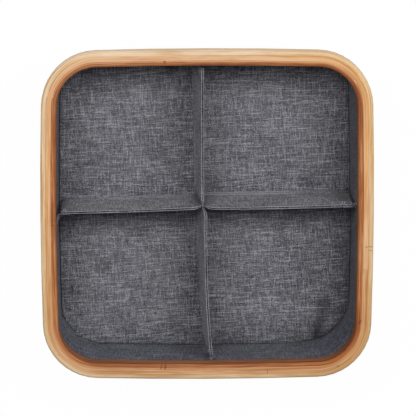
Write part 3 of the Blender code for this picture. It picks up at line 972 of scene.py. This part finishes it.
def panel_profile(outer, low, high):
    """The panel's edge, rounded over, straight down and turned under the board."""
    profile = []
    for step in range(1, PANEL_EDGE_STEPS + 1):
        turn = QUARTER_TURN * step / PANEL_EDGE_STEPS
        offset = outer + PANEL_EDGE_ROUND * (1 - math.sin(turn))
        height = high - PANEL_EDGE_ROUND * (1 - math.cos(turn))
        profile.append((offset, height, turn * PANEL_EDGE_ROUND))
    gone = profile[-1][-1]
    side = high - PANEL_EDGE_ROUND - low
    for step in range(1, PANEL_SIDE_STEPS + 1):
        fall = side * (step / PANEL_SIDE_STEPS)
        profile.append((outer, high - PANEL_EDGE_ROUND - fall, gone + fall))
    gone += side
    for step in range(1, PANEL_UNDER_STEPS + 1):
        under = PANEL_TURN_UNDER * step / PANEL_UNDER_STEPS
        profile.append((outer + under, low, gone + under))
    return profile


def clear_of_wings(plan):
    """0 along the wings' feet, rising to 1 away from them."""
    clear = np.ones(plan.shape[:2])
    for side in SIDES:
        line = wing_lines(side)
        outward, left = wing_axes(side)
        start, end = (line["foot_along"][k] * outward[:2] + line["foot_shift"][k] * left[:2]
                      for k in (0, -1))
        run = end - start
        share = np.clip(((plan - start) @ run) / (run @ run), 0, 1)
        away = np.linalg.norm(plan - start - share[..., None] * run, axis=-1)
        clear = np.minimum(clear, smooth_step(away, *PUFF_START))
    return clear


def panel_fold(plan):
    """How high the fold beside the round corner lifts the cloth, and how much painted shade darkens
    its crease.
    """
    first, last = np.array(FOLD_ENDS)
    length = np.linalg.norm(last - first)
    run = (last - first) / length
    along = (plan - first) @ run
    east_of = (plan - first) @ np.array([-run[1], run[0]])
    at_first, at_last = FOLD_FADES
    ends = smooth_step(along, *at_first) * smooth_step(length - along, *at_last)
    rise = FOLD_RISE * smooth_step(east_of, -FOLD_HALF_WIDTH, FOLD_HALF_WIDTH)
    rise = rise * (1 - smooth_step(east_of, FOLD_HALF_WIDTH, FOLD_REACH))
    return rise * ends, FOLD_SHADE * bell(east_of, FOLD_HALF_WIDTH) * ends


def panel_shade(plan, to_edge):
    """How much painted shade darkens the panel's face near the walls and in its south-east quarter."""
    east, south = plan[..., 0] / HALF_SIZE, -plan[..., 1] / HALF_SIZE
    east_share, south_share = SOUTH_EAST_SHARES
    quarter = smooth_step(east, 0, east_share) * smooth_step(south, 0, south_share)
    near_wall = 1 - smooth_step(to_edge, *EDGE_SHADE_WIDTHS)
    along_edge = RIM_SHADE * (1 - smooth_step(to_edge, 0, RIM_SHADE_WIDTH))
    return ((EDGE_SHADE + EASTERN_SHADE * east) * near_wall + along_edge
            + SOUTH_EAST_SHADE * quarter)


def build_floor_panel():
    """The loose panel's cloth: it puffs up a little between the wings and is turned under."""
    low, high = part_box("base_insert_cover")
    outer = HALF_SIZE - high.x
    edge_offset = outer + PANEL_EDGE_ROUND
    profile = panel_profile(outer, low.z, high.z)
    grid, weave = panel_grid(edge_offset, high.z, profile)
    plan = grid[..., :2]
    on_top = grid[..., 2] >= high.z - TINY
    to_edge = HALF_SIZE - edge_offset - np.abs(plan).max(-1)
    clear = clear_of_wings(plan) * smooth_step(to_edge, *EDGE_SHADE_WIDTHS) * on_top
    puff = PANEL_PUFF * clear * np.clip(lumpy(plan, PUFF_LUMPS, PUFF_LEVEL), 0, None)
    rise, crease_shade = panel_fold(plan)
    # Painted shade near the walls, along the edge, in the fold's crease and on the panel's side, and
    # painted light in its clear middles
    shade = (panel_shade(plan, to_edge) + crease_shade) * on_top + SIDE_SHADE * (1 - on_top)
    grid = with_height(plan, grid[..., 2] + puff + rise * on_top)
    looks = (CLOTHS["panel"], "base_insert", "panel_cloth", ["base_insert_cover"])
    made = add_cloth("floor_panel_cloth", grid, weave, looks, wear_and_painted_light=PANEL_PAINTED_LIGHT * clear - shade)


def build_panel_board():
    """The board inside the loose panel, with the same cut corner."""
    low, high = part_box("base_insert_board")
    outer = HALF_SIZE - high.x
    angles, _ = spaced_angles(BOARD_SPACING, outer)
    edge = outer + edge_cut(angles, outer)
    loops = [with_height(outline(angles, edge + inset), np.full(len(angles), height))
             for inset, height in ((BOARD_FACE_RING, low.z), (0, low.z), (0, high.z - BOARD_BEVEL),
                                   (BOARD_BEVEL, high.z), (BOARD_FACE_RING, high.z))]
    index = np.arange(len(loops) * len(angles)).reshape(len(loops), -1)
    faces = [*tube_faces(index), index[0][::-1].tolist(), index[-1].tolist()]
    made = add_object("floor_panel_board", np.concatenate(loops), faces, GREYBOARD,
                      "base_insert", "stiffener", ["base_insert_board"])
    made.data.set_sharp_from_angle(angle=BOARD_SHARP_ANGLE)


def build_flat_cloth(kind):
    """A flat cloth inside the walls, as thick as its CAD solid."""
    node = f"{kind}_bottom_panel"
    low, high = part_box(node)
    outer = HALF_SIZE - high.x
    grid, weave = panel_grid(outer, high.z, [], cut=False)
    looks = (CLOTHS[kind], "tray", f"{kind}_cloth", [node])
    made = add_cloth(f"{kind}_floor", grid, weave, looks, behind=grid - UP * (high.z - low.z))


# The walls

def wall_grid(kind, grid, behind, facing_in):
    """A wall's cloth as a grid: its angles round the tray, its heights, its flat places, its
    offset, which lies this far behind the solid's outer face, and its length once round."""
    low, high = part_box(f"{kind}_side_band")
    spacing, rows = grid
    outer = HALF_SIZE - high.x + behind
    angles, along = spaced_angles(spacing, outer)
    whole = along[-1] + along[1]
    if facing_in:
        angles, along = angles[::-1], along[::-1]
    heights = np.linspace(low.z, high.z, rows)[:, None]
    return angles, heights, paired(along, heights), outer, whole


def wall_points(angles, heights, offset):
    """Wall points at these angles and heights, for an offset at each of them."""
    lean = WALL_TAPER * np.maximum(0, 1 - heights / RIM_BOTTOM)
    plan = outline(np.broadcast_to(angles, offset.shape), offset + lean)
    return with_height(plan, np.broadcast_to(heights, offset.shape))


def free_share(heights, hold):
    """How free a wall's cloth is to move: not at all at the rim and at its foot."""
    below_rim, to_rim, above_foot = hold
    free = 1 - smooth_step(heights, RIM_BOTTOM - below_rim, RIM_BOTTOM - to_rim)
    return free * smooth_step(heights, heights[0], heights[0] + above_foot)


def add_wall(kind, grid, place, whole, wear_and_painted_light):
    """A wall's cloth, once round the tray."""
    looks = (CLOTHS[kind], "tray", f"{kind}_cloth", [f"{kind}_side_band"])
    made = add_cloth(f"{kind}_wall", grid, place, looks, wrap=whole, wear_and_painted_light=wear_and_painted_light)


def build_lining():
    """The inner cloth wall: soft where no board backs it, creased at the boards' edges."""
    angles, heights, place, outer, whole = wall_grid("lining", LINING_GRID, CLOTH, True)
    corner = in_corners(angles)
    strength, size, seed = LINING_WAVE
    waves = strength * (1 + lumps(place, size, seed))
    soft = LINING_SOFTNESS * corner * lumpy(place, LINING_CORNER_LUMPS)
    ridge_place, ridge_width = BOARD_RIDGE_SHARES
    ridge = BOARD_RIDGE * bell(corner - ridge_place, ridge_width)
    cut = edge_cut(angles, outer + WALL_TAPER + PANEL_EDGE_ROUND)
    cut = cut * (1 - smooth_step(heights, PANEL_LEAN_START, RIM_BOTTOM - PANEL_LEAN_END))
    push = waves + np.maximum(soft, LINING_LEAST_SAG) + ridge + cut
    grid = wall_points(angles, heights, outer + free_share(heights, LINING_HOLD) * push)
    # Painted shade darkens the lining towards the east, and a pale patch is painted by the eastern
    # wing's end
    from_pale_patch = (grid[..., 1:] - PALE_PATCH_PLACE) / PALE_PATCH_SIZE
    pale_patch = PALE_PATCH_STRENGTH * np.exp(-(from_pale_patch**2).sum(-1)) * (grid[..., 0] > 0)
    shade = LINING_SHADE * smooth_step(grid[..., 0], -HALF_SIZE, HALF_SIZE)
    add_wall("lining", grid, place, whole, LINING_WEAR + pale_patch - shade)


def build_cover():
    """The outer cloth wall, a little slack in its corners."""
    angles, heights, place, outer, whole = wall_grid("cover", COVER_GRID, 0, False)
    swell = lumpy(place, [COVER_WAVE]) + in_corners(angles) * lumpy(place, [COVER_CORNER_LUMP])
    swell = free_share(heights, COVER_HOLD) * np.clip(swell, COVER_LEAST_SWELL, None)
    grid = wall_points(angles, heights, outer - swell)
    add_wall("cover", grid, place, whole, None)


# The cross

def wing_axes(side):
    """A wing's directions: outwards, and to its left."""
    turn = SIDES.index(side) * QUARTER_TURN
    outward = np.array([round(math.cos(turn)), round(math.sin(turn)), 0])
    return outward, np.array([-outward[1], outward[0], 0])


def wing_lines(side):
    """Where a wing's middle plane runs at its top and its foot, as the CAD sleeve's sections
    have it: how far out each section is, and how far left of the side's middle."""
    outward, left = wing_axes(side)
    points = np.array([v.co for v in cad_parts[f"wing_sleeve_{side}"].data.vertices])
    height = points[:, 2]
    lines = {}
    for name, level in (("foot", height.min()), ("top", height.max())):
        chosen = points[np.abs(height - level) < LEVEL_TOLERANCE]
        along = np.round(chosen @ outward, PLACE_DIGITS)
        places, which = np.unique(along, return_inverse=True)
        shifts = np.bincount(which, chosen @ left) / np.bincount(which)
        stations = np.append(places[0], np.linspace(places[1], places[-1], WING_STEPS + 1))
        lines[f"{name}_along"] = stations
        lines[f"{name}_shift"] = np.interp(stations, places, shifts)
        lines[name] = level
    return lines


def smoothed(values, radius):
    """Values along a line, softened over so many neighbours each way."""
    weights = np.hanning(2 * radius + 3)[1:-1]
    start = values[0] * 2 - values[radius:0:-1]
    end = values[-1] * 2 - values[-2:-radius - 2:-1]
    return np.convolve(np.concatenate([start, values, end]), weights / weights.sum(), "valid")


class Wing:
    """A wing's middle plane, in columns along it."""

    def __init__(self, side):
        self.side = side
        self.outward, self.left = wing_axes(side)
        self.stitched_side = 1 if side in ("east", "north") else -1
        lines = wing_lines(side)
        self.foot, self.top = lines["foot"], lines["top"]
        stations = np.arange(len(lines["top_along"]))
        start, end = lines["top_along"][[0, -1]]
        self.count = round((end - start) / WING_SPACING)
        top_along = np.linspace(start, end, self.count)
        index = np.interp(top_along, lines["top_along"], stations)
        self.along = [np.interp(index, stations, lines["foot_along"]), top_along]
        self.shift = [smoothed(np.interp(index, stations, lines[name]), SHIFT_SOFTENING)
                      for name in ("foot_shift", "top_shift")]
        self.gone = top_along - start

    def points(self, columns, across, heights):
        """World points at these columns, so far left of the middle plane, at these heights."""
        rise = (heights - self.foot) / (self.top - self.foot)
        whole = np.arange(self.count)
        along, shift = (
            np.interp(columns, whole, low) * (1 - rise) + np.interp(columns, whole, high) * rise
            for low, high in (self.along, self.shift))
        plan = along[..., None] * self.outward + (shift + across)[..., None] * self.left
        return plan + heights[..., None] * UP

    def half_width(self, columns):
        """Half the sleeve's width: drawn in at the centre seam and at its outer end."""
        gone = np.interp(columns, np.arange(self.count), self.gone)
        full = PINCH_HALF + (WING_HALF - PINCH_HALF) * smooth_step(gone, 0, PINCH_REACH)
        drawn_in = 1 - smooth_step(self.gone[-1] - gone, 0, END_DRAW_REACH)
        return full * (1 - END_DRAW_SHARE * drawn_in)


def sleeve_rows(wing):
    """One face of a sleeve from its foot to the middle of its top: heights, and widths as
    shares of its half width."""
    foot = [(wing.foot + rise, share) for rise, share in SLEEVE_FOOT_ROWS]
    top = [(wing.top - fall, share) for fall, share in SLEEVE_TOP_ROWS]
    start = foot[-1][0]
    gap = top[0][0] - start
    between = round(gap / SLEEVE_ROW_SPACING)
    middle = [(start + gap * k / between, 1.0) for k in range(1, between)]
    return np.array([*foot, *middle, *top]).T


def sleeve_shell(wing, across, heights):
    """A sleeve's left face, and over its top its right one, so far from the middle plane."""
    columns = np.broadcast_to(np.arange(wing.count)[:, None], heights.shape)
    left, right = (wing.points(columns, side, heights) for side in across)
    return np.concatenate([left, right[:, -2::-1]], 1)


def over_top(values):
    """Values up one face of a sleeve and, in turned order, down the other."""
    return np.concatenate([values, values[-2::-1]])


def rumples(wing, face, seed):
    """How far the left and the right face stand out: ripples, and gathers at the seam."""
    gone = wing.gone[:, None]
    place = paired(gone, face)
    body = smooth_step(face, wing.foot, wing.foot + RUMPLE_FOOT)
    body = body * smooth_step(wing.top - face, *RUMPLE_TOP)
    near_seam = np.exp(-gone / GATHER_REACH)
    turns = (face - wing.foot) / GATHER_PITCH * FULL_TURN + gone / GATHER_SLANT
    gathers = np.sin(turns) * near_seam
    depth, size = RIPPLE
    for turned in (1, -1):
        ripple = depth * (lumps(place, size, seed + turned) + RIPPLE_LEVEL)
        fold = GATHER_DEPTH * np.clip(gathers * turned + GATHER_LEVEL * near_seam, 0, None)
        yield body * (ripple + fold)


def sleeve_wear_and_light(wing, heights, shares, weave, seed):
    """How pale or dark a sleeve is painted: wear and a painted highlight on its crests, painted shade
    in its valley and groove, painted highlights on its hems, painted light and shade on its faces and
    painted shade at its ends.
    """
    below = wing.top - heights
    crest = bell(below, CREST_WIDTH) * (shares > CREST_SHARE)
    groove = GROOVE_SHADE * bell(below - GROOVE_STITCH[0], GROOVE_WIDTH)
    wear_and_painted_light = over_top(crest - (shares < VALLEY_SHARE) - groove)
    hem = over_top(sum(bell(heights - wing.foot - line, HEM_LINE_WIDTH) for line in HEM_LINES))
    gone = wing.gone[:, None]
    fade = HEM_HIGHLIGHTS[wing.side] * (1 - HEM_FADE_SHARE * smooth_step(gone, *HEM_FADE))
    wear_and_painted_light = (wear_and_painted_light + fade * hem) * lumpy(weave, [(*SLEEVE_MARK_LUMPS, seed)], SLEEVE_MARK_LEVEL)
    face = FACE_PAINTED_LIGHT[wing.side] - PIT_SHADE * bell(gone, PIT_REACHES[wing.side])
    end = END_SHADE * bell(wing.gone[-1] - gone, END_REACHES[wing.side])
    below = over_top(below)
    wear_and_painted_light = wear_and_painted_light + face * smooth_step(below, *FACE_DEPTHS) - end * smooth_step(below, *END_DEPTHS)
    return np.clip(wear_and_painted_light, -1, 1)


def build_sleeve(side):
    """A wing's sleeve: two crests along its top, a stitched line below them and above its hem,
    and gathers where it runs into the centre seam."""
    wing = Wing(side)
    seed = SIDES.index(side) * SIDE_SEED_STEP
    heights, shares = sleeve_rows(wing)
    face = np.broadcast_to(heights, (wing.count, len(heights)))
    half = wing.half_width(np.arange(wing.count))[:, None]
    left, right = (half * shares + out * (shares > 0) for out in rumples(wing, face, seed))
    grid = sleeve_shell(wing, (left, -right), face)
    inside = np.clip(half - CLOTH, LEAST_INSIDE, None) * np.minimum(1, shares)
    behind = sleeve_shell(wing, (inside, -inside), np.minimum(face, wing.top - SLEEVE_INSIDE_DROP))

    lengths = added_up(np.hypot(np.diff(heights), np.diff(shares) * WING_HALF))
    over = np.concatenate([lengths, 2 * lengths[-1] - lengths[-2::-1]])
    weave = paired(wing.gone[:, None] + seed, over)
    wear_and_painted_light = sleeve_wear_and_light(wing, heights, shares, weave, seed)
    looks = (CLOTHS["wing"], "divider", "wing_cloth", [f"wing_sleeve_{side}"])
    made = add_cloth(f"wing_cloth_{side}", grid, weave, looks, wear_and_painted_light=wear_and_painted_light, behind=behind)
    return wing


# Thread

def tube_rings(points, radii, sides):
    """Rings of points round a polyline."""
    ahead = np.gradient(points, axis=0)
    ahead /= np.maximum(np.linalg.norm(ahead, axis=1, keepdims=True), TINY)
    guide = UP if abs(ahead[0, 2]) < STEEP_SHARE else np.array([1, 0, 0])
    side = np.cross(ahead, guide)
    side /= np.linalg.norm(side, axis=1, keepdims=True)
    cosine, sine = directions(np.arange(sides) * FULL_TURN / sides).T[..., None]
    ring = cosine * side[:, None] + sine * np.cross(side, ahead)[:, None]
    return points[:, None] + ring * radii[:, None, None]


def add_stitches(name, runs, radius=THREAD_RADIUS, pitch=STITCH_PITCH, length=STITCH_LENGTH):
    """Rows of stitches. A run is a line on the cloth and the way that it faces there."""
    lift = np.array(STITCH_LIFT_SHARES)[:, None] * radius
    radii = radius * np.array(STITCH_GIRTH_SHARES)
    points, faces = [], []
    for line, facing in runs:
        gone = gone_along(line)
        for first in np.arange((pitch - length) / 2, gone[-1] - length, pitch):
            at = np.linspace(first, first + length, len(radii))
            centre = np.stack([np.interp(at, gone, line[:, axis]) for axis in range(3)], -1)
            rings = tube_rings(centre + lift * facing, radii, THREAD_SIDES)
            index = np.arange(rings[..., 0].size).reshape(-1, THREAD_SIDES)
            index += len(points) * index.size
            faces += [*tube_faces(index), index[0][::-1].tolist(), index[-1].tolist()]
            points.append(rings.reshape(-1, 3))
    add_object(name, np.concatenate(points), faces, THREAD, "divider", "seam_thread")


def build_wing_stitches(wing):
    """A row along one crest of the top, one below the other crest, and one above each hem."""
    columns = np.arange(STITCH_FREE_COLUMNS, wing.count - STITCH_FREE_COLUMNS)
    stitched = wing.stitched_side
    (crest, crest_share), (groove, groove_share), (hem, hem_share) = (
        CREST_STITCH, GROOVE_STITCH, HEM_STITCH)
    rows = ((wing.top - crest, stitched * crest_share, UP),
            (wing.top - groove, -stitched * groove_share, -stitched * wing.left),
            (wing.foot + hem, hem_share, wing.left), (wing.foot + hem, -hem_share, -wing.left))
    runs = []
    for height, share, facing in rows:
        across = wing.half_width(columns) * share
        runs.append((wing.points(columns, across, np.full(len(columns), height)), facing))
    add_stitches(f"wing_stitches_{wing.side}", runs)


def build_bar_tack(wing):
    """The long slanting stitches that hold the tab to the sleeve near its top."""
    turned = wing.stitched_side
    first, last = TACK_DEPTHS
    heights = wing.top - np.linspace(first, last, TACK_POINTS)
    across = np.full(TACK_POINTS, turned * (WING_HALF + TACK_RADIUS))
    runs = []
    for start in TACK_STARTS[wing.side]:
        from_end = np.linspace(start, start - TACK_RUN, TACK_POINTS)
        columns = np.interp(wing.gone[-1] - from_end, wing.gone, np.arange(wing.count))
        runs.append((wing.points(columns, across, heights), turned * wing.left))
    reach = last - first
    add_stitches(f"bar_tack_{wing.side}", runs, TACK_RADIUS, reach, TACK_LENGTH_SHARE * reach)


# The tabs and the centre seam

def tab_path(bend, spread_to):
    """A tab's run in plan: a leg along the sleeve to the bend, then a slant over to the wall,
    as how far out and how far from the wing's middle plane each point is."""
    face = WING_HALF + TAB_GAP + TAB_THICKNESS
    leg = paired(np.linspace(bend - TAB_LEG, bend, TAB_LEG_POINTS), face)
    share = np.linspace(0, 1, TAB_SLANT_POINTS + 1)[1:]
    out = bend + TAB_STAND_OFF * share**TAB_SLANT_POWER
    return np.concatenate([leg, paired(out, face + spread_to * share)])


def build_tab(wing):
    """The cloth tab at a wing's end: flat on the sleeve, then slanting over to the wall, with
    its upper edge curled against the wall."""
    turned = -1 if wing.side in RIGHT_TURNED_TABS else 1
    low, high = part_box(f"end_tab_{wing.side}")
    reach = max(abs(corner.dot(Vector(wing.outward))) for corner in (low, high))
    bend = reach - TAB_STAND_OFF
    path = tab_path(bend, TAB_SPREADS[wing.side])
    gone = gone_along(path)
    out, beside = path.T
    heights = np.linspace(low.z, high.z, TAB_ROWS)[:, None]
    place = paired(gone, heights)

    bend_low, bend_high = TAB_CURL_START
    curl = smooth_step(heights, high.z - TAB_CURL_HEIGHT, high.z)
    curl = curl * smooth_step(out, bend + bend_low, bend + bend_high)
    along = out + (reach - out) * curl * TAB_CURL_SHARE
    wavy = lumpy(place, [TAB_WAVE]) * (along < reach - TAB_FLAT_END)
    rise = (heights - wing.foot) / (wing.top - wing.foot)
    foot_shift, top_shift = (
        np.interp(out, stations, shift) for stations, shift in zip(wing.along, wing.shift))
    shift = foot_shift * (1 - rise) + top_shift * rise
    shift = shift + turned * (beside + wavy - TAB_LEANS[wing.side] * curl)
    grid = along[..., None] * wing.outward + shift[..., None] * wing.left
    grid = grid + heights[..., None] * UP
    if turned > 0:
        grid, place = grid[:, ::-1], place[:, ::-1]
    edge = TAB_EDGE_HIGHLIGHT * bell(high.z - heights, TAB_EDGE_WIDTH)
    wear_and_painted_light = np.broadcast_to(TAB_PALENESS[wing.side] + edge, shift.shape)
    looks = (CLOTHS["tab"], "divider", "tab_tape", [f"end_tab_{wing.side}"])
    made = add_cloth(f"end_tab_cloth_{wing.side}", grid, place, looks, wear_and_painted_light=wear_and_painted_light,
                     thickness=TAB_THICKNESS)


def build_centre(wings):
    """The gathered seam where the four sleeves meet."""
    start = np.array(0.0)
    foot = np.mean([wing.points(start, start, np.array(wing.foot)) for wing in wings], 0)
    top = np.mean([wing.points(start, start, np.array(wing.top)) for wing in wings], 0)
    rise = (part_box("centre_seam")[1].z - foot[2]) / (top[2] - foot[2])
    rows = np.linspace(0, 1, SEAM_ROWS)[:, None]
    middle = foot + rows * (top - foot) * rise
    turns = np.arange(SEAM_COLUMNS) * FULL_TURN / SEAM_COLUMNS
    ribs = 1 + SEAM_RIB_SHARE * np.cos(len(SIDES) * turns)
    lump = np.sin(rows * SEAM_LUMP_TURNS) * np.cos(turns * SEAM_LUMP_SIDES + SEAM_LUMP_START)
    closing = np.sqrt(np.clip((1 - rows) / SEAM_CLOSING_SHARE, 0, 1))
    radius = SEAM_RADIUS * ribs * (SEAM_GIRTH_SHARE + SEAM_LUMP_SHARE * lump) * closing
    ring = with_height(directions(turns), np.zeros(SEAM_COLUMNS))
    points = (middle[:, None] + radius[..., None] * ring).reshape(-1, 3)
    index = np.arange(len(points)).reshape(-1, SEAM_COLUMNS)
    faces = [*tube_faces(index), index[0][::-1].tolist()]
    add_object("centre_seam_cloth", points, faces, CLOTHS["wing"],
               "divider", "seam_thread", ["centre_seam"])


def dress_boards():
    """The stiffeners stay the CAD's own solids, in grey board."""
    for name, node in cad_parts.items():
        if "board" in name and not node.hide_render:
            node.material_slots[0].material = GREYBOARD


# The set

def floor_material():
    """White to the camera, with a trace of the shadows on it, and clear from below."""
    made, tree, shader = new_material("pale_floor", FLOOR_ROUGHNESS, Base_Color=FLOOR_COLOUR)
    rays = add_node(tree, "LightPath", {}).outputs
    seen = calc(tree, "MAXIMUM", rays["Is Camera Ray"], rays["Is Glossy Ray"])
    seen = calc(tree, "MAXIMUM", seen, rays["Is Transmission Ray"])
    glow = add_node(tree, "Emission", {"Color": WHITE, "Strength": 1.0})
    share = calc(tree, "MULTIPLY", seen, FLOOR_GLOW_SHARE)
    above = add_node(tree, "MixShader", {0: share, 1: shader.outputs[0], 2: glow.outputs[0]})
    below = add_node(tree, "NewGeometry", {}).outputs["Backfacing"]
    share = calc(tree, "MULTIPLY", below, rays["Is Camera Ray"])
    clear = add_node(tree, "BsdfTransparent", {})
    whole = add_node(tree, "MixShader", {0: share, 1: above.outputs[0], 2: clear.outputs[0]})
    feed(tree, tree.nodes["Material Output"].inputs["Surface"], whole.outputs[0])
    return made


def build_stage():
    """A pale floor that is open below the tray, so that its underside can be seen."""
    offset = HALF_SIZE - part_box("cover_bottom_panel")[1].x + FLOOR_LAP
    angles, _ = spaced_angles(FLOOR_EDGE_SPACING, offset)
    inner = outline(angles, offset)
    outer = FLOOR_REACH * inner / np.linalg.norm(inner, axis=1, keepdims=True)
    points = with_height(np.concatenate([outer, inner]), np.zeros(2 * len(angles)))
    mesh = bpy.data.meshes.new("pale_floor")
    faces = tube_faces(np.arange(len(points)).reshape(2, -1))
    mesh.from_pydata(points.tolist(), [], faces)
    mesh.materials.append(floor_material())
    linked("pale_floor", mesh)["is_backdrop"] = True


def aimed(place, target, up=Vector((0, 1, 0))):
    """The matrix of a lamp or camera at a place that looks at a target."""
    back = (place - target).normalized()
    top = (up - up.dot(back) * back).normalized()
    turned = Matrix((top.cross(back), top, back)).transposed()
    return Matrix.Translation(place) @ turned.to_4x4()


def build_light():
    target = Vector((0, 0, RIM_TOP / 2))
    way = Vector((math.tan(KEY_TILT_EAST), math.tan(KEY_TILT_NORTH), 1)).normalized()
    lamp = bpy.data.lights.new("key_light", "AREA")
    lamp.shape = "RECTANGLE"
    lamp.size, lamp.size_y = KEY_SIZE
    lamp.energy = KEY_POWER
    linked("key_light", lamp).matrix_world = aimed(target + KEY_DISTANCE * way, target)
    world = bpy.data.worlds.new("studio")
    world.use_nodes = True
    tree = world.node_tree
    backdrop = tree.nodes["Background"].inputs
    backdrop["Color"].default_value = WHITE
    rays = add_node(tree, "LightPath", {}).outputs
    strength = calc(tree, "MULTIPLY_ADD", rays["Is Camera Ray"], 1 - WORLD_STRENGTH,
                    WORLD_STRENGTH)
    feed(tree, backdrop["Strength"], strength)
    bpy.context.scene.world = world


def build_camera():
    way = Vector((-math.tan(CAMERA_TILT_WEST), math.tan(CAMERA_TILT_NORTH), 1)).normalized()
    data = bpy.data.cameras.new("camera")
    data.lens = CAMERA_LENS
    camera = linked("camera", data)
    camera.matrix_world = aimed(CAMERA_AIM + CAMERA_DISTANCE * way, CAMERA_AIM)
    bpy.context.scene.camera = camera
    bpy.context.scene.view_settings.view_transform = "Standard"


def main():
    dress_rim()
    build_floor_panel()
    build_panel_board()
    build_flat_cloth("lining")
    build_flat_cloth("cover")
    build_lining()
    build_cover()
    wings = [build_sleeve(side) for side in SIDES]
    for wing in wings:
        build_wing_stitches(wing)
        build_tab(wing)
        build_bar_tack(wing)
    build_centre(wings)
    dress_boards()
    build_stage()
    build_light()
    build_camera()


main()
boxes = {"cad": CAD_BOX, "visual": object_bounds()}
{name: [list(corner) for corner in box] for name, box in boxes.items()}
